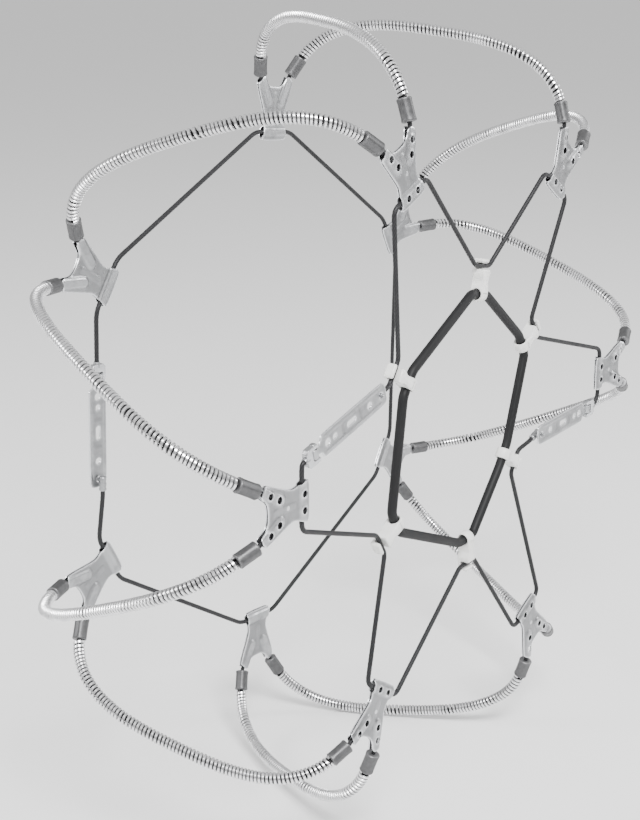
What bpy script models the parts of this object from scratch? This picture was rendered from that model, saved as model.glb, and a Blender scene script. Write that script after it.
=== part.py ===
"""Cable tyre chain for one 265/75R16 wheel, as it sits on the tyre.

Frame: origin at the wheel's centre, +Y along the axle towards the vehicle, +Z up, metres.
Angles run clockwise from +Z as seen from the outer side (-Y), so 90 degrees is +X.
"""
import math

import bmesh
import bpy
import numpy as np
from mathutils import Matrix, Vector

OBJECT_NAME = "tire_snow_chain"
GAP = 0.0003
ROD_SIDES = 12
ROUND_LIMIT = math.radians(40.0)

# --- where the six outer plates and the six rubber hooks sit on the wheel: degrees, metres ---
PLATE_ANGLES = (-24.0, 35.0, 91.0, 153.0, 214.0, 271.0)
HOOK_STATIONS = ((-55.5, 0.150), (11.0, 0.165), (62.0, 0.160),
                 (122.3, 0.128), (175.0, 0.156), (240.0, 0.166))

# --- the line that the cross-members follow over the tread ---
ROUTE_HALF_WIDTH = 0.1385
ROUTE_MID_RADIUS = 0.300
ROUTE_RISE = 0.108
ROUTE_SQUARENESS = 3.0
ROUTE_SAMPLES = 800
COIL_SPANS = 10
BEND_ALLOWANCE = 0.05

# --- hourglass plates: two stamped layers round the cables ---
PLATE_Y = 0.138
PLATE_RADIUS = 0.304
PLATE_SHEET = 0.0016
PLATE_SPACE = 0.0054
HEAD_CABLE_DROP = 0.0255
ARM_ANCHOR = (0.0100, 0.0060)
ARM_EXIT = (0.0245, 0.0345)
PLATE_HALF_OUTLINE = ((0.0175, -0.0345), (0.0195, -0.0320), (0.0190, -0.0270), (0.0145, -0.0140),
                      (0.0160, -0.0060), (0.0280, 0.0230), (0.0275, 0.0270), (0.0210, 0.0335),
                      (0.0170, 0.0320), (0.0130, 0.0250), (0.0070, 0.0220))
PLATE_HOLES = ((0.0115, 0.0095), (0.0180, 0.0215), (0.0077, -HEAD_CABLE_DROP))
PLATE_HOLE_RADIUS = 0.0035
PLATE_HOLE_SIDES = 6
RIVET_SPOT = (0.0, -0.0040)
RIVET_RADIUS = 0.0032
RIVET_SIDES = 8

# --- cables, coils and ferrules ---
CROSS_CABLE_RADIUS = 0.0023
SIDE_CABLE_RADIUS = 0.0024
CABLE_RESOLUTION = 2
COIL_RADIUS = 0.0065
COIL_WALL = 0.0030
COIL_END_GAP = 0.0013
FERRULE_RADIUS = 0.0073
FERRULE_SIDES = 8
FERRULE_START = 0.0012
FERRULE_LENGTH = 0.0225
FERRULE_SPAN = FERRULE_START + FERRULE_LENGTH + 0.0010

# --- rubber tension ring and its hooks ---
HOOK_Y = 0.128
HOOK_REACH = 0.029
HOOK_WIDTH = 0.015
HOOK_WALL = HOOK_REACH - 0.0032
HOOK_LIP = HOOK_REACH + 0.0030
HOOK_NOSE = ((HOOK_WALL - 0.0040, -0.0068), (HOOK_LIP + 0.0026, -0.0068),
             (HOOK_LIP + 0.0042, -0.0050), (HOOK_LIP + 0.0038, 0.0038),
             (HOOK_LIP + 0.0028, 0.0046), (HOOK_LIP, 0.0046), (HOOK_LIP, -0.0028),
             (HOOK_WALL, -0.0028), (HOOK_WALL, 0.0062), (HOOK_WALL - 0.0012, 0.0074))
RING_RADIUS = 0.0050
TUNNEL_RADIUS = 0.0054
DRUM_RADIUS = 0.0080
DRUM_SIDES = 9
STATION_CORNER = 0.0135
CORNER_REACH = 0.0045
CORNER_SAMPLES = 2
NEARLY_HALF = 0.48
HEAD_CORNER = 0.0285
HEAD_REACH = 0.0085

# --- latch strips, their forks, pins and pegs ---
STRIP_LENGTH = 0.113
STRIP_HALF_WIDTH = 0.0115
STRIP_NECK_END = 0.009
STRIP_FLARE_END = 0.013
STRIP_TIP_CUT = 0.005
STRIP_SHEET = 0.0020
STRIP_HOLES = (0.020, 0.031, 0.052, 0.062, 0.086)
STRIP_HOLE_RADIUS = 0.0030
STRIP_HOLE_SIDES = 8
PEG_DISTANCE = 0.105
PEG_RADIUS = 0.0019
PEG_TOP = 0.0045
BARREL_RADIUS = 0.0037
BARREL_HALF = 0.0047
PIN_RADIUS = 0.0018
PIN_BORE = 0.0021
PIN_HALF = 0.0092
PIN_PEENING = 0.0008
FORK_BACK = 0.013
FORK_THROAT = 0.005
FORK_FRONT = 0.0045
FORK_SIDE_PLAY = 0.0006
FORK_HALF_THICKNESS = 0.0036
SOCKET_FLOOR = -FORK_THROAT - 0.0012
SOCKET_CABLE_END = SOCKET_FLOOR - GAP
FITTING_DROP = 0.0062
FITTING_RADIUS = 0.0038
FITTING_REACH = 0.011
FITTING_TAIL = 0.0042
LATCH_HINGES = ((99.5, 0.256), (-80.4, 0.2637))
LATCH_AIMS = ((108.6, 0.144), (-63.6, 0.1691))

COLOURS = {
    "galvanised_steel": ((0.62, 0.63, 0.64), 0.34, 1.0),
    "coil_steel": ((0.72, 0.72, 0.73), 0.22, 1.0),
    "cross_cable_steel": ((0.34, 0.34, 0.35), 0.42, 1.0),
    "wire_rope": ((0.16, 0.16, 0.17), 0.40, 1.0),
    "rubber": ((0.045, 0.045, 0.048), 0.62, 0.0),
    "white_nylon": ((0.86, 0.86, 0.84), 0.38, 0.0),
}


# ---------------------------------------------------------------- scene and helpers

def clear_scene():
    """Start from an empty scene with one collection for parts and one for cutters."""
    for thing in list(bpy.data.objects):
        bpy.data.objects.remove(thing)
    folders = []
    for title in (OBJECT_NAME, "cutters"):
        folder = bpy.data.collections.new(title)
        bpy.context.scene.collection.children.link(folder)
        folders.append(folder)
    return folders


def make_material(slot):
    colour, roughness, metallic = COLOURS[slot]
    material = bpy.data.materials.new(slot)
    material.use_nodes = True
    shader = material.node_tree.nodes["Principled BSDF"]
    shader.inputs["Base Color"].default_value = (*colour, 1.0)
    shader.inputs["Roughness"].default_value = roughness
    shader.inputs["Metallic"].default_value = metallic
    return material


PARTS, CUTTERS = clear_scene()
MATERIALS = {}


def add_part(name, data, slot, matrix=None):
    """Put a mesh or curve into the parts collection under its node's name."""
    thing = bpy.data.objects.new(name, data)
    PARTS.objects.link(thing)
    if slot not in MATERIALS:
        MATERIALS[slot] = make_material(slot)
    if not data.materials:
        data.materials.append(MATERIALS[slot])
    if matrix is not None:
        thing.matrix_world = matrix
    return thing


def evaluated_mesh(thing):
    """The object's shape with its modifiers applied, seams welded; the object goes away."""
    bpy.context.view_layer.update()
    graph = bpy.context.evaluated_depsgraph_get()
    mesh = bpy.data.meshes.new_from_object(thing.evaluated_get(graph))
    weld = bmesh.new()
    weld.from_mesh(mesh)
    bmesh.ops.remove_doubles(weld, verts=weld.verts, dist=1e-6)
    weld.to_mesh(mesh)
    weld.free()
    bpy.data.objects.remove(thing)
    return mesh


def circle(radius, sides, centre=(0.0, 0.0)):
    turns = [2.0 * math.pi * (k + 0.5) / sides for k in range(sides)]
    return [(centre[0] + radius * math.cos(a), centre[1] + radius * math.sin(a)) for a in turns]


def flat_shape(loops, thickness):
    """A sheet in the XY plane from an outline and its holes, centred on z = 0."""
    curve = bpy.data.curves.new("outline", "CURVE")
    curve.dimensions = "2D"
    curve.fill_mode = "BOTH"
    curve.extrude = thickness / 2.0
    for loop in loops:
        spline = curve.splines.new("POLY")
        spline.points.add(len(loop) - 1)
        for point, (x, y) in zip(spline.points, loop):
            point.co = (x, y, 0.0, 1.0)
        spline.use_cyclic_u = True
    thing = bpy.data.objects.new("outline", curve)
    CUTTERS.objects.link(thing)
    return evaluated_mesh(thing)


def rod(radius, start, end, sides=ROD_SIDES):
    """A solid cylinder between two points, as a mesh."""
    start, end = Vector(start), Vector(end)
    turn = (end - start).to_track_quat("Z", "Y").to_matrix().to_4x4()
    shape = bmesh.new()
    bmesh.ops.create_cone(shape, cap_ends=True, segments=sides, radius1=radius, radius2=radius,
                          depth=(end - start).length,
                          matrix=Matrix.Translation((start + end) / 2.0) @ turn)
    mesh = bpy.data.meshes.new("rod")
    shape.to_mesh(mesh)
    shape.free()
    return mesh


def combine(base, steps):
    """Join or cut a mesh with others: steps are (operation, mesh) pairs, in order."""
    thing = bpy.data.objects.new("blank", base)
    CUTTERS.objects.link(thing)
    helpers = []
    for operation, mesh in steps:
        cutter = bpy.data.objects.new("cutter", mesh)
        CUTTERS.objects.link(cutter)
        cutter.hide_render = True
        cutter.display_type = "WIRE"
        modifier = thing.modifiers.new("shape", "BOOLEAN")
        modifier.operation = operation
        modifier.object = cutter
        modifier.solver = "EXACT"
        helpers.append(cutter)
    mesh = evaluated_mesh(thing)
    for cutter in helpers:
        bpy.data.objects.remove(cutter)
    return mesh


def moved(mesh, matrix):
    copy = mesh.copy()
    copy.transform(matrix)
    return copy


def shade_round(mesh):
    """Smooth shading, with sharp edges where faces meet at more than the limit."""
    mesh.shade_smooth()
    mesh.set_sharp_from_angle(angle=ROUND_LIMIT)
    return mesh


def cable_mesh(points, radius, closed=False, capped=True):
    """A cable, or a rubber cord, as a bevelled curve through its points, made a mesh."""
    curve = bpy.data.curves.new("cable", "CURVE")
    curve.dimensions = "3D"
    curve.bevel_depth = radius
    curve.bevel_resolution = CABLE_RESOLUTION
    curve.use_fill_caps = capped and not closed
    spline = curve.splines.new("POLY")
    spline.points.add(len(points) - 1)
    for point, place in zip(spline.points, points):
        point.co = (*place, 1.0)
    spline.use_cyclic_u = closed
    thing = bpy.data.objects.new("cable", curve)
    CUTTERS.objects.link(thing)
    return evaluated_mesh(thing)


# ---------------------------------------------------------------- places on the wheel

def radial(angle):
    turn = math.radians(angle)
    return Vector((math.sin(turn), 0.0, math.cos(turn)))


def tangent(angle):
    turn = math.radians(angle)
    return Vector((math.cos(turn), 0.0, -math.sin(turn)))


def on_wheel(angle, radius, y=0.0, along=0.0):
    return radial(angle) * radius + tangent(angle) * along + Vector((0.0, y, 0.0))


def frame_at(origin, x_axis, z_axis):
    """A placing matrix from a point, a length direction and an outward normal."""
    x_axis = Vector(x_axis).normalized()
    z_axis = Vector(z_axis).normalized()
    y_axis = z_axis.cross(x_axis)
    turn = Matrix((x_axis, y_axis, z_axis)).transposed().to_4x4()
    return Matrix.Translation(origin) @ turn


def plate_frame(angle, side):
    """Plate frame: z away from the tyre, y radially outwards; side is -1 outer, +1 inner."""
    return frame_at(on_wheel(angle, PLATE_RADIUS, side * PLATE_Y), tangent(angle) * -side,
                    (0.0, side, 0.0))


def rounded(stations):
    """Replace every inner corner of a route by a parabola; stations are (point, reach) pairs.

    The parabola starts and ends at reach from its corner, or nearly halfway to the next corner
    where that is closer.
    """
    route = [stations[0][0]]
    for (before, _), (corner, reach), (after, _) in zip(stations, stations[1:], stations[2:]):
        back, ahead = before - corner, after - corner
        reach = min(reach, NEARLY_HALF * back.length, NEARLY_HALF * ahead.length)
        start = corner + back.normalized() * reach
        end = corner + ahead.normalized() * reach
        for k in range(CORNER_SAMPLES + 2):
            f = k / (CORNER_SAMPLES + 1)
            route.append(start * (1 - f) ** 2 + corner * 2 * f * (1 - f) + end * f ** 2)
    route.append(stations[-1][0])
    return route


def middle_angle(first, second):
    return first + ((second - first) % 360.0) / 2.0


INNER_ANGLES = [middle_angle(a, b)
                for a, b in zip(PLATE_ANGLES, PLATE_ANGLES[1:] + PLATE_ANGLES[:1])]


# ---------------------------------------------------------------- cross-members

def cross_route(outer_angle, inner_angle):
    """Knots of one cross-member's cable, from its outer plate arm to its inner plate arm.

    The route keeps to a rounded box section round the tyre, |y/a|^3 + |(r-m)/b|^3 = 1, while
    its angle on the wheel changes evenly with the distance along that section.  Knots lie
    closer together where the route bends.
    """
    swing = 1.0 if inner_angle > outer_angle else -1.0
    exit_radius = PLATE_RADIUS + ARM_EXIT[1]
    exit_turn = math.degrees(math.atan2(ARM_EXIT[0], exit_radius)) * swing
    power = 2.0 / ROUTE_SQUARENESS
    climb = ((exit_radius - ROUTE_MID_RADIUS) / ROUTE_RISE) ** (1.0 / power)
    sweep = np.linspace(math.asin(climb), math.pi - math.asin(climb), ROUTE_SAMPLES)
    y = -np.sign(np.cos(sweep)) * np.abs(np.cos(sweep)) ** power * ROUTE_HALF_WIDTH
    r = ROUTE_MID_RADIUS + ROUTE_RISE * np.sin(sweep) ** power
    along = np.concatenate(([0.0], np.cumsum(np.hypot(np.diff(y), np.diff(r)))))
    start, end = outer_angle + exit_turn, inner_angle - exit_turn
    angle = np.radians(start + (end - start) * along / along[-1])
    path = np.stack((r * np.sin(angle), y, r * np.cos(angle)), axis=1)
    steps = np.diff(path, axis=0)
    lengths = np.linalg.norm(steps, axis=1)
    run = np.concatenate(([0.0], np.cumsum(lengths)))
    heading = steps / lengths[:, None]
    bend = np.arccos(np.clip(np.sum(heading[1:] * heading[:-1], axis=1), -1.0, 1.0))
    pace = run + BEND_ALLOWANCE * np.concatenate(([0.0], np.cumsum(bend), [bend.sum()]))
    first, last = np.interp((FERRULE_SPAN, run[-1] - FERRULE_SPAN), run, pace)
    stops = np.concatenate(([0.0], np.linspace(first, last, COIL_SPANS + 1), [pace[-1]]))
    knots = [Vector([float(np.interp(s, pace, path[:, axis])) for axis in range(3)]) for s in stops]
    knots[0].y, knots[-1].y = -PLATE_Y, PLATE_Y
    anchor_radius = PLATE_RADIUS + ARM_ANCHOR[1]
    knots.insert(0, on_wheel(outer_angle, anchor_radius, -PLATE_Y, swing * ARM_ANCHOR[0]))
    knots.append(on_wheel(inner_angle, anchor_radius, PLATE_Y, -swing * ARM_ANCHOR[0]))
    return knots


def ferrule_rod(start, end):
    """A ferrule on the first span of a route, which begins at its plate's edge."""
    heading = (end - start).normalized()
    near = start + heading * FERRULE_START
    return rod(FERRULE_RADIUS, near, near + heading * FERRULE_LENGTH, FERRULE_SIDES)


def coil_knots(knots):
    """The stretch of a route that lies between its ferrules, held off them by a gap."""
    stretch = list(knots[2:-2])
    stretch[0] = stretch[0] + (stretch[1] - stretch[0]).normalized() * COIL_END_GAP
    stretch[-1] = stretch[-1] + (stretch[-2] - stretch[-1]).normalized() * COIL_END_GAP
    return stretch


def make_cross_members():
    """Twelve cables with their two crimped ferrules each, and the coil strung on each cable."""
    number = 0
    for index, outer in enumerate(PLATE_ANGLES):
        neighbours = (INNER_ANGLES[index - 1], INNER_ANGLES[index])
        for inner, swing in zip(neighbours, (-1.0, 1.0)):
            number += 1
            near = outer + swing * ((swing * (inner - outer)) % 360.0)
            knots = cross_route(outer, near)
            ferrules = (ferrule_rod(knots[1], knots[2]), ferrule_rod(knots[-2], knots[-3]))
            core = combine(cable_mesh(knots, CROSS_CABLE_RADIUS), [("UNION", f) for f in ferrules])
            add_part(f"cross_cable_{number}", shade_round(core), "cross_cable_steel")
            skin = cable_mesh(coil_knots(knots), COIL_RADIUS, capped=False)
            coil = add_part(f"traction_coil_{number}", shade_round(skin), "coil_steel")
            wall = coil.modifiers.new("wall", "SOLIDIFY")
            wall.thickness = COIL_WALL
            wall.offset = -1.0


# ---------------------------------------------------------------- plates

def make_plates():
    """Outer plates as a back layer with its flush rivet and a pierced front layer, inner whole."""
    outline = list(PLATE_HALF_OUTLINE) + [(-x, y) for x, y in reversed(PLATE_HALF_OUTLINE)]
    rivet_hole = circle(RIVET_RADIUS + GAP, RIVET_SIDES, RIVET_SPOT)
    holes = [circle(PLATE_HOLE_RADIUS, PLATE_HOLE_SIDES, (side * x, y))
             for x, y in PLATE_HOLES for side in (1, -1)]
    offset = (PLATE_SPACE + PLATE_SHEET) / 2.0
    front = flat_shape([outline, rivet_hole] + holes, PLATE_SHEET)
    front.transform(Matrix.Translation((0.0, 0.0, offset)))
    top = offset + PLATE_SHEET / 2.0
    rivet = flat_shape([circle(RIVET_RADIUS, RIVET_SIDES, RIVET_SPOT)], 2.0 * top)
    solid_back = flat_shape([outline], PLATE_SHEET)
    solid_back.transform(Matrix.Translation((0.0, 0.0, -offset)))
    riveted_back = combine(solid_back, [("UNION", rivet)])
    solid_front = moved(solid_back, Matrix.Translation((0.0, 0.0, 2.0 * offset)))
    pair = combine(riveted_back.copy(), [("UNION", solid_front)])
    for index, angle in enumerate(PLATE_ANGLES, start=1):
        place = plate_frame(angle, -1)
        add_part(f"outer_plate_front_{index}", front, "galvanised_steel", place)
        add_part(f"outer_plate_back_{index}", riveted_back, "galvanised_steel", place)
    for index, angle in enumerate(INNER_ANGLES, start=1):
        place = plate_frame(angle, 1)
        add_part(f"inner_plate_{index}", pair, "galvanised_steel", place)


# ---------------------------------------------------------------- latch strips and side cables

def strip_mesh():
    """Perforated strip along +x from its rolled hinge barrel, which lies along y at x = 0."""
    wide, narrow = STRIP_HALF_WIDTH, BARREL_HALF
    tip, cut = STRIP_LENGTH, STRIP_TIP_CUT
    neck = narrow - GAP
    half = [(0.0, neck), (STRIP_NECK_END, neck), (STRIP_FLARE_END, wide), (tip - cut, wide),
            (tip, wide - cut)]
    outline = [(x, -y) for x, y in half] + [(x, y) for x, y in reversed(half)]
    sheet = flat_shape([outline], STRIP_SHEET)
    barrel = rod(BARREL_RADIUS, (0.0, -narrow, 0.0), (0.0, narrow, 0.0))
    bore = rod(PIN_BORE, (0.0, -2 * narrow, 0.0), (0.0, 2 * narrow, 0.0))
    steps = [("UNION", barrel), ("DIFFERENCE", bore)]
    for x in STRIP_HOLES + (PEG_DISTANCE,):
        punch = rod(STRIP_HOLE_RADIUS, (x, 0.0, -STRIP_SHEET), (x, 0.0, STRIP_SHEET),
                    STRIP_HOLE_SIDES)
        steps.append(("DIFFERENCE", punch))
    return shade_round(combine(sheet, steps))


def fork_mesh():
    """Fork with the strip's pin peened into its two ears, and a socket for the cable behind."""
    inner, outer, front = BARREL_HALF + FORK_SIDE_PLAY, PIN_HALF, FORK_FRONT
    outline = [(-FORK_BACK, -outer), (front, -outer), (front, -inner), (-FORK_THROAT, -inner),
               (-FORK_THROAT, inner), (front, inner), (front, outer), (-FORK_BACK, outer)]
    body = flat_shape([outline], 2.0 * FORK_HALF_THICKNESS)
    socket = rod(SIDE_CABLE_RADIUS + GAP, (-2 * FORK_BACK, 0.0, 0.0), (SOCKET_FLOOR, 0.0, 0.0))
    pin_end = PIN_HALF + PIN_PEENING
    pin = rod(PIN_RADIUS, (0.0, -pin_end, 0.0), (0.0, pin_end, 0.0))
    return shade_round(combine(body, [("DIFFERENCE", socket), ("UNION", pin)]))


def peg_mesh():
    """Swaged cable end along +x below the strip, with the upright peg the strip drops over."""
    drop = -FITTING_DROP
    body = rod(FITTING_RADIUS, (-FITTING_TAIL, 0.0, drop), (FITTING_REACH, 0.0, drop))
    peg = rod(PEG_RADIUS, (0.0, 0.0, drop), (0.0, 0.0, PEG_TOP))
    return combine(body, [("UNION", peg)])


def head_corners(angle, side):
    """Where a side cable turns before and after the straight channel in a plate's head."""
    radius = PLATE_RADIUS - HEAD_CABLE_DROP
    return [(on_wheel(angle, radius, side * PLATE_Y, along), HEAD_REACH)
            for along in (-HEAD_CORNER, HEAD_CORNER)]


def hook_corners(station):
    """Where a cord turns before and after its straight run through a hook."""
    angle, radius = station
    return [(on_wheel(angle, radius, -HOOK_Y, along), CORNER_REACH)
            for along in (-STATION_CORNER, STATION_CORNER)]


def strip_frames():
    """Hinge frames of the two outer latch strips and the inner link strip."""
    frames = []
    for hinge, aim in zip(LATCH_HINGES, LATCH_AIMS):
        origin = on_wheel(*hinge, -PLATE_Y)
        frames.append(frame_at(origin, on_wheel(*aim, -PLATE_Y) - origin, (0.0, -1.0, 0.0)))
    left = head_corners(INNER_ANGLES[-2], 1)[1][0]
    right = head_corners(INNER_ANGLES[-1], 1)[0][0]
    heading = (left - right).normalized()
    origin = (left + right) / 2.0 - heading * (PEG_DISTANCE / 2.0)
    frames.append(frame_at(origin, heading, (0.0, 1.0, 0.0)))
    return frames


def make_cables_and_strips():
    """Latch strips and forks, then the side cables from a swaged peg to a fork's socket."""
    frames = strip_frames()
    strip = strip_mesh()
    for name, place in zip(("latch_strip_1", "latch_strip_2", "inner_link_strip"), frames):
        add_part(name, strip, "galvanised_steel", place)
    fork = fork_mesh()
    for name, place in zip(("strip_fork_1", "strip_fork_2", "inner_link_fork"), frames):
        add_part(name, fork, "galvanised_steel", place)

    peg = peg_mesh()
    ends = (("outer_side_cable_a", "a", 1, 0), ("outer_side_cable_b", "b", 0, 1),
            ("inner_side_cable", "inner", 2, 2))
    for title, which, peg_frame, fork_frame in ends:
        corners = cable_corners(which)
        place = frames[peg_frame]
        normal = place.to_3x3().col[2]
        spot = place @ Vector((PEG_DISTANCE, 0.0, 0.0))
        level = spot - normal * FITTING_DROP
        heading = corners[0][0] - level
        heading = (heading - normal * heading.dot(normal)).normalized()
        bend = level + heading * (FITTING_REACH + CORNER_REACH + GAP)
        head = [(level, 0.0), (bend, CORNER_REACH)]
        entry = frames[fork_frame] @ Vector((-FORK_BACK - CORNER_REACH - GAP, 0.0, 0.0))
        tail = [(entry, CORNER_REACH),
                (frames[fork_frame] @ Vector((SOCKET_CABLE_END, 0.0, 0.0)), 0.0)]
        wire = cable_mesh(rounded(head + corners + tail), SIDE_CABLE_RADIUS)
        fitting = moved(peg, frame_at(spot, heading, normal))
        add_part(title, shade_round(combine(wire, [("UNION", fitting)])), "wire_rope")


def cable_corners(which):
    """Corners of a side cable from its peg end to its fork end."""
    if which == "inner":
        corners = []
        for angle in reversed(INNER_ANGLES[:-1]):
            corners += list(reversed(head_corners(angle, 1)))
        return corners + list(reversed(head_corners(INNER_ANGLES[-1], 1)))
    first = 0 if which == "a" else 3
    corners = []
    for step in range(3):
        corners += hook_corners(HOOK_STATIONS[first + step])
        corners += head_corners(PLATE_ANGLES[first + step], -1)
    return corners


# ---------------------------------------------------------------- tension ring and hooks

def hook_mesh():
    """Hook in its own frame: x radial from the ring to the cable, y away from the tyre.

    A block with the ring's tunnel at its inner end reaches under the side cable, and a lip
    rises beyond it, so the cable lies in a channel that is open on the outer side.
    """
    drum = [(DRUM_RADIUS * math.cos(a), DRUM_RADIUS * math.sin(a))
            for a in np.linspace(math.pi / 2.0, 3.0 * math.pi / 2.0, DRUM_SIDES)]
    tunnel = circle(TUNNEL_RADIUS, ROD_SIDES)
    return shade_round(flat_shape([drum + list(HOOK_NOSE), tunnel], HOOK_WIDTH))


def make_tension_ring():
    """Rubber ring, straight inside each hook's tunnel, and the six hooks on the side cable."""
    mesh = hook_mesh()
    corners = []
    for index, (angle, radius) in enumerate(HOOK_STATIONS, start=1):
        origin = on_wheel(angle, radius - HOOK_REACH, -HOOK_Y)
        width_axis = radial(angle).cross(Vector((0.0, -1.0, 0.0)))
        add_part(f"tension_hook_{index}", mesh, "white_nylon",
                 frame_at(origin, radial(angle), width_axis))
        corners += hook_corners((angle, radius - HOOK_REACH))
    looped = rounded([corners[-1]] + corners + [corners[0]])[1:-1]
    add_part("tension_ring", shade_round(cable_mesh(looped, RING_RADIUS, closed=True)), "rubber")


make_cross_members()
make_plates()
make_cables_and_strips()
make_tension_ring()
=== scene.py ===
"""Looks of a cable tyre chain: wound coils, stamped plates, wire ropes, rubber ring and hooks.

World frame: origin at the wheel's centre, +Y along the axle towards the vehicle, +Z up, metres.
Angles run clockwise from +Z as seen from the outer side (-Y).
"""

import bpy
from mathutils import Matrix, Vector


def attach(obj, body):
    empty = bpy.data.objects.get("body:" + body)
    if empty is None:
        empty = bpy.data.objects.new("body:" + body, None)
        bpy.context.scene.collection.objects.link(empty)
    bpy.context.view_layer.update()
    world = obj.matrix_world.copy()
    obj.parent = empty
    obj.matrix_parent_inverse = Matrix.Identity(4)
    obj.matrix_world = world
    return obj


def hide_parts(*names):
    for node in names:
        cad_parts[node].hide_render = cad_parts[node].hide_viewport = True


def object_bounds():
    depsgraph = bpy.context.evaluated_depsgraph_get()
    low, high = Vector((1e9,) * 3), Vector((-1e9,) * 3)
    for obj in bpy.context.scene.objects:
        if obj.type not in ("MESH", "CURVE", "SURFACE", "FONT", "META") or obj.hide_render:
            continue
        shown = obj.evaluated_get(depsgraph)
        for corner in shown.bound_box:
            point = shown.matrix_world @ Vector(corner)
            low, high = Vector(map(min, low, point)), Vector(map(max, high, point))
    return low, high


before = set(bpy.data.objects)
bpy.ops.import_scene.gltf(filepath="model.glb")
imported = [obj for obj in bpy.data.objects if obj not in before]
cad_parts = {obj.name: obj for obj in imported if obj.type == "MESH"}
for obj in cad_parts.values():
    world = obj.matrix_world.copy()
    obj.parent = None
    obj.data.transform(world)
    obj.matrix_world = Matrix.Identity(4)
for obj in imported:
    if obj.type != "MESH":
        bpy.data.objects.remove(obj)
CAD_BOUNDS = [list(map(float, corner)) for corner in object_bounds()]

import math

import bmesh
import bpy
import numpy as np
from bpy.props import FloatProperty, FloatVectorProperty, IntProperty, PointerProperty
from mathutils import Matrix, Vector
from mathutils.geometry import delaunay_2d_cdt

bl_info = {
    "name": "Cable tyre chain",
    "version": (1, 0, 0),
    "blender": (4, 5, 0),
    "location": "View3D > Sidebar > Tyre chain",
    "description": "Builds a cable tyre chain round a light-truck wheel",
    "category": "Object",
}

# Where the outer plates stand round the wheel, in degrees; each inner plate stands midway between
# two of them.  Hooks are (angle, wheel radius of the side cable there), strips' hinges and the
# points they head for are (angle, wheel radius).
PLATE_ANGLES = (-24.0, 35.0, 91.0, 153.0, 214.0, 271.0)
HOOK_STATIONS = ((-55.5, 0.150), (11.0, 0.165), (62.0, 0.160),
                 (122.3, 0.128), (175.0, 0.156), (240.0, 0.166))
LATCH_HINGES = ((99.5, 0.256), (-80.4, 0.2637))
LATCH_AIMS = ((108.6, 0.144), (-63.6, 0.1691))
INNER_ANGLES = tuple(a + ((b - a) % 360.0) / 2.0
                     for a, b in zip(PLATE_ANGLES, PLATE_ANGLES[1:] + PLATE_ANGLES[:1]))
OUTER, INNER = -1, 1
CHAIN_BODY = "chain"


# ------------------------------------------------------------------ sizes and colours

def length(name, text, default):
    return FloatProperty(name=name, description=text, default=default, min=0.0, unit="LENGTH",
                         precision=5)


def colour(name, text, default):
    return FloatVectorProperty(name=name, description=text, default=default, size=4, min=0.0,
                               max=1.0, subtype="COLOR")


class ChainRouteSettings(bpy.types.PropertyGroup):
    """The line of the cross-members round the tyre."""
    half_width: length("Half width", "Distance from the middle plane to the side runs", 0.1385)
    mid_radius: length("Middle radius", "Wheel radius of the section's centre", 0.300)
    rise: length("Rise", "Height of the tread run above the section's centre", 0.108)
    squareness: FloatProperty(name="Squareness", description="Exponent of the rounded section",
                              default=3.0, min=2.0)
    ferrule_start: length("Ferrule start", "Bare cable between plate and ferrule", 0.0012)
    ferrule_length: length("Ferrule length", "Length of a crimped ferrule", 0.0225)
    ferrule_radius: length("Ferrule radius", "Outer radius of a ferrule", 0.0073)


class ChainCoilSettings(bpy.types.PropertyGroup):
    """The wound traction coils."""
    radius: length("Radius", "Outer radius of a coil", 0.0062)
    wire: length("Wire", "Thickness of the wound wire, across the coil", 0.0028)
    wire_width: length("Wire width", "Width of the wound wire, along the coil", 0.0034)
    pitch: length("Pitch", "Distance from turn to turn", 0.0040)
    steps: IntProperty(name="Steps", description="Segments in one turn", default=14, min=8)
    sides: IntProperty(name="Sides", description="Sides of the wire's section", default=6, min=4)


class ChainPlateSettings(bpy.types.PropertyGroup):
    """The stamped hourglass plates."""
    offset: length("Offset", "Distance of a plate's middle from the wheel's middle plane", 0.138)
    radius: length("Radius", "Wheel radius of a plate's centre", 0.304)
    sheet: length("Sheet", "Thickness of one stamped layer", 0.0013)
    crest: length("Crest", "Height of a layer over the cable it grips", 0.0031)
    valley: length("Valley", "Height of a layer where the two layers meet", 0.0011)
    rim: length("Rim", "Height of the raised rim round a hole", 0.0005)
    hole: length("Hole", "Radius of a punched hole", 0.0034)


class ChainCableSettings(bpy.types.PropertyGroup):
    """Wire ropes and the rubber ring."""
    cross_radius: length("Cross cable", "Radius of a cross-member's cable", 0.0022)
    side_radius: length("Side cable", "Radius of a side cable", 0.0024)
    lay: length("Lay", "Length in which the strands go round once", 0.026)
    ring_radius: length("Ring", "Radius of the rubber ring's cord", 0.0050)
    hook_offset: length("Hook plane", "Distance of the hooks from the middle plane", 0.128)
    hook_reach: length("Hook reach", "Distance from the ring's cord to the side cable", 0.029)


class ChainStripSettings(bpy.types.PropertyGroup):
    """The perforated latch strips."""
    strip_length: length("Length", "Length from hinge pin to tip", 0.113)
    half_width: length("Half width", "Half of the strip's width", 0.0115)
    sheet: length("Sheet", "Thickness of the strip", 0.0018)
    peg_distance: length("Peg distance", "Distance from hinge pin to peg", 0.105)
    peg_radius: length("Peg radius", "Radius of the upright peg", 0.0019)
    barrel: length("Barrel", "Outer radius of the rolled hinge barrel", 0.0037)
    pin: length("Pin", "Radius of the cross pin", 0.0018)


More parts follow.
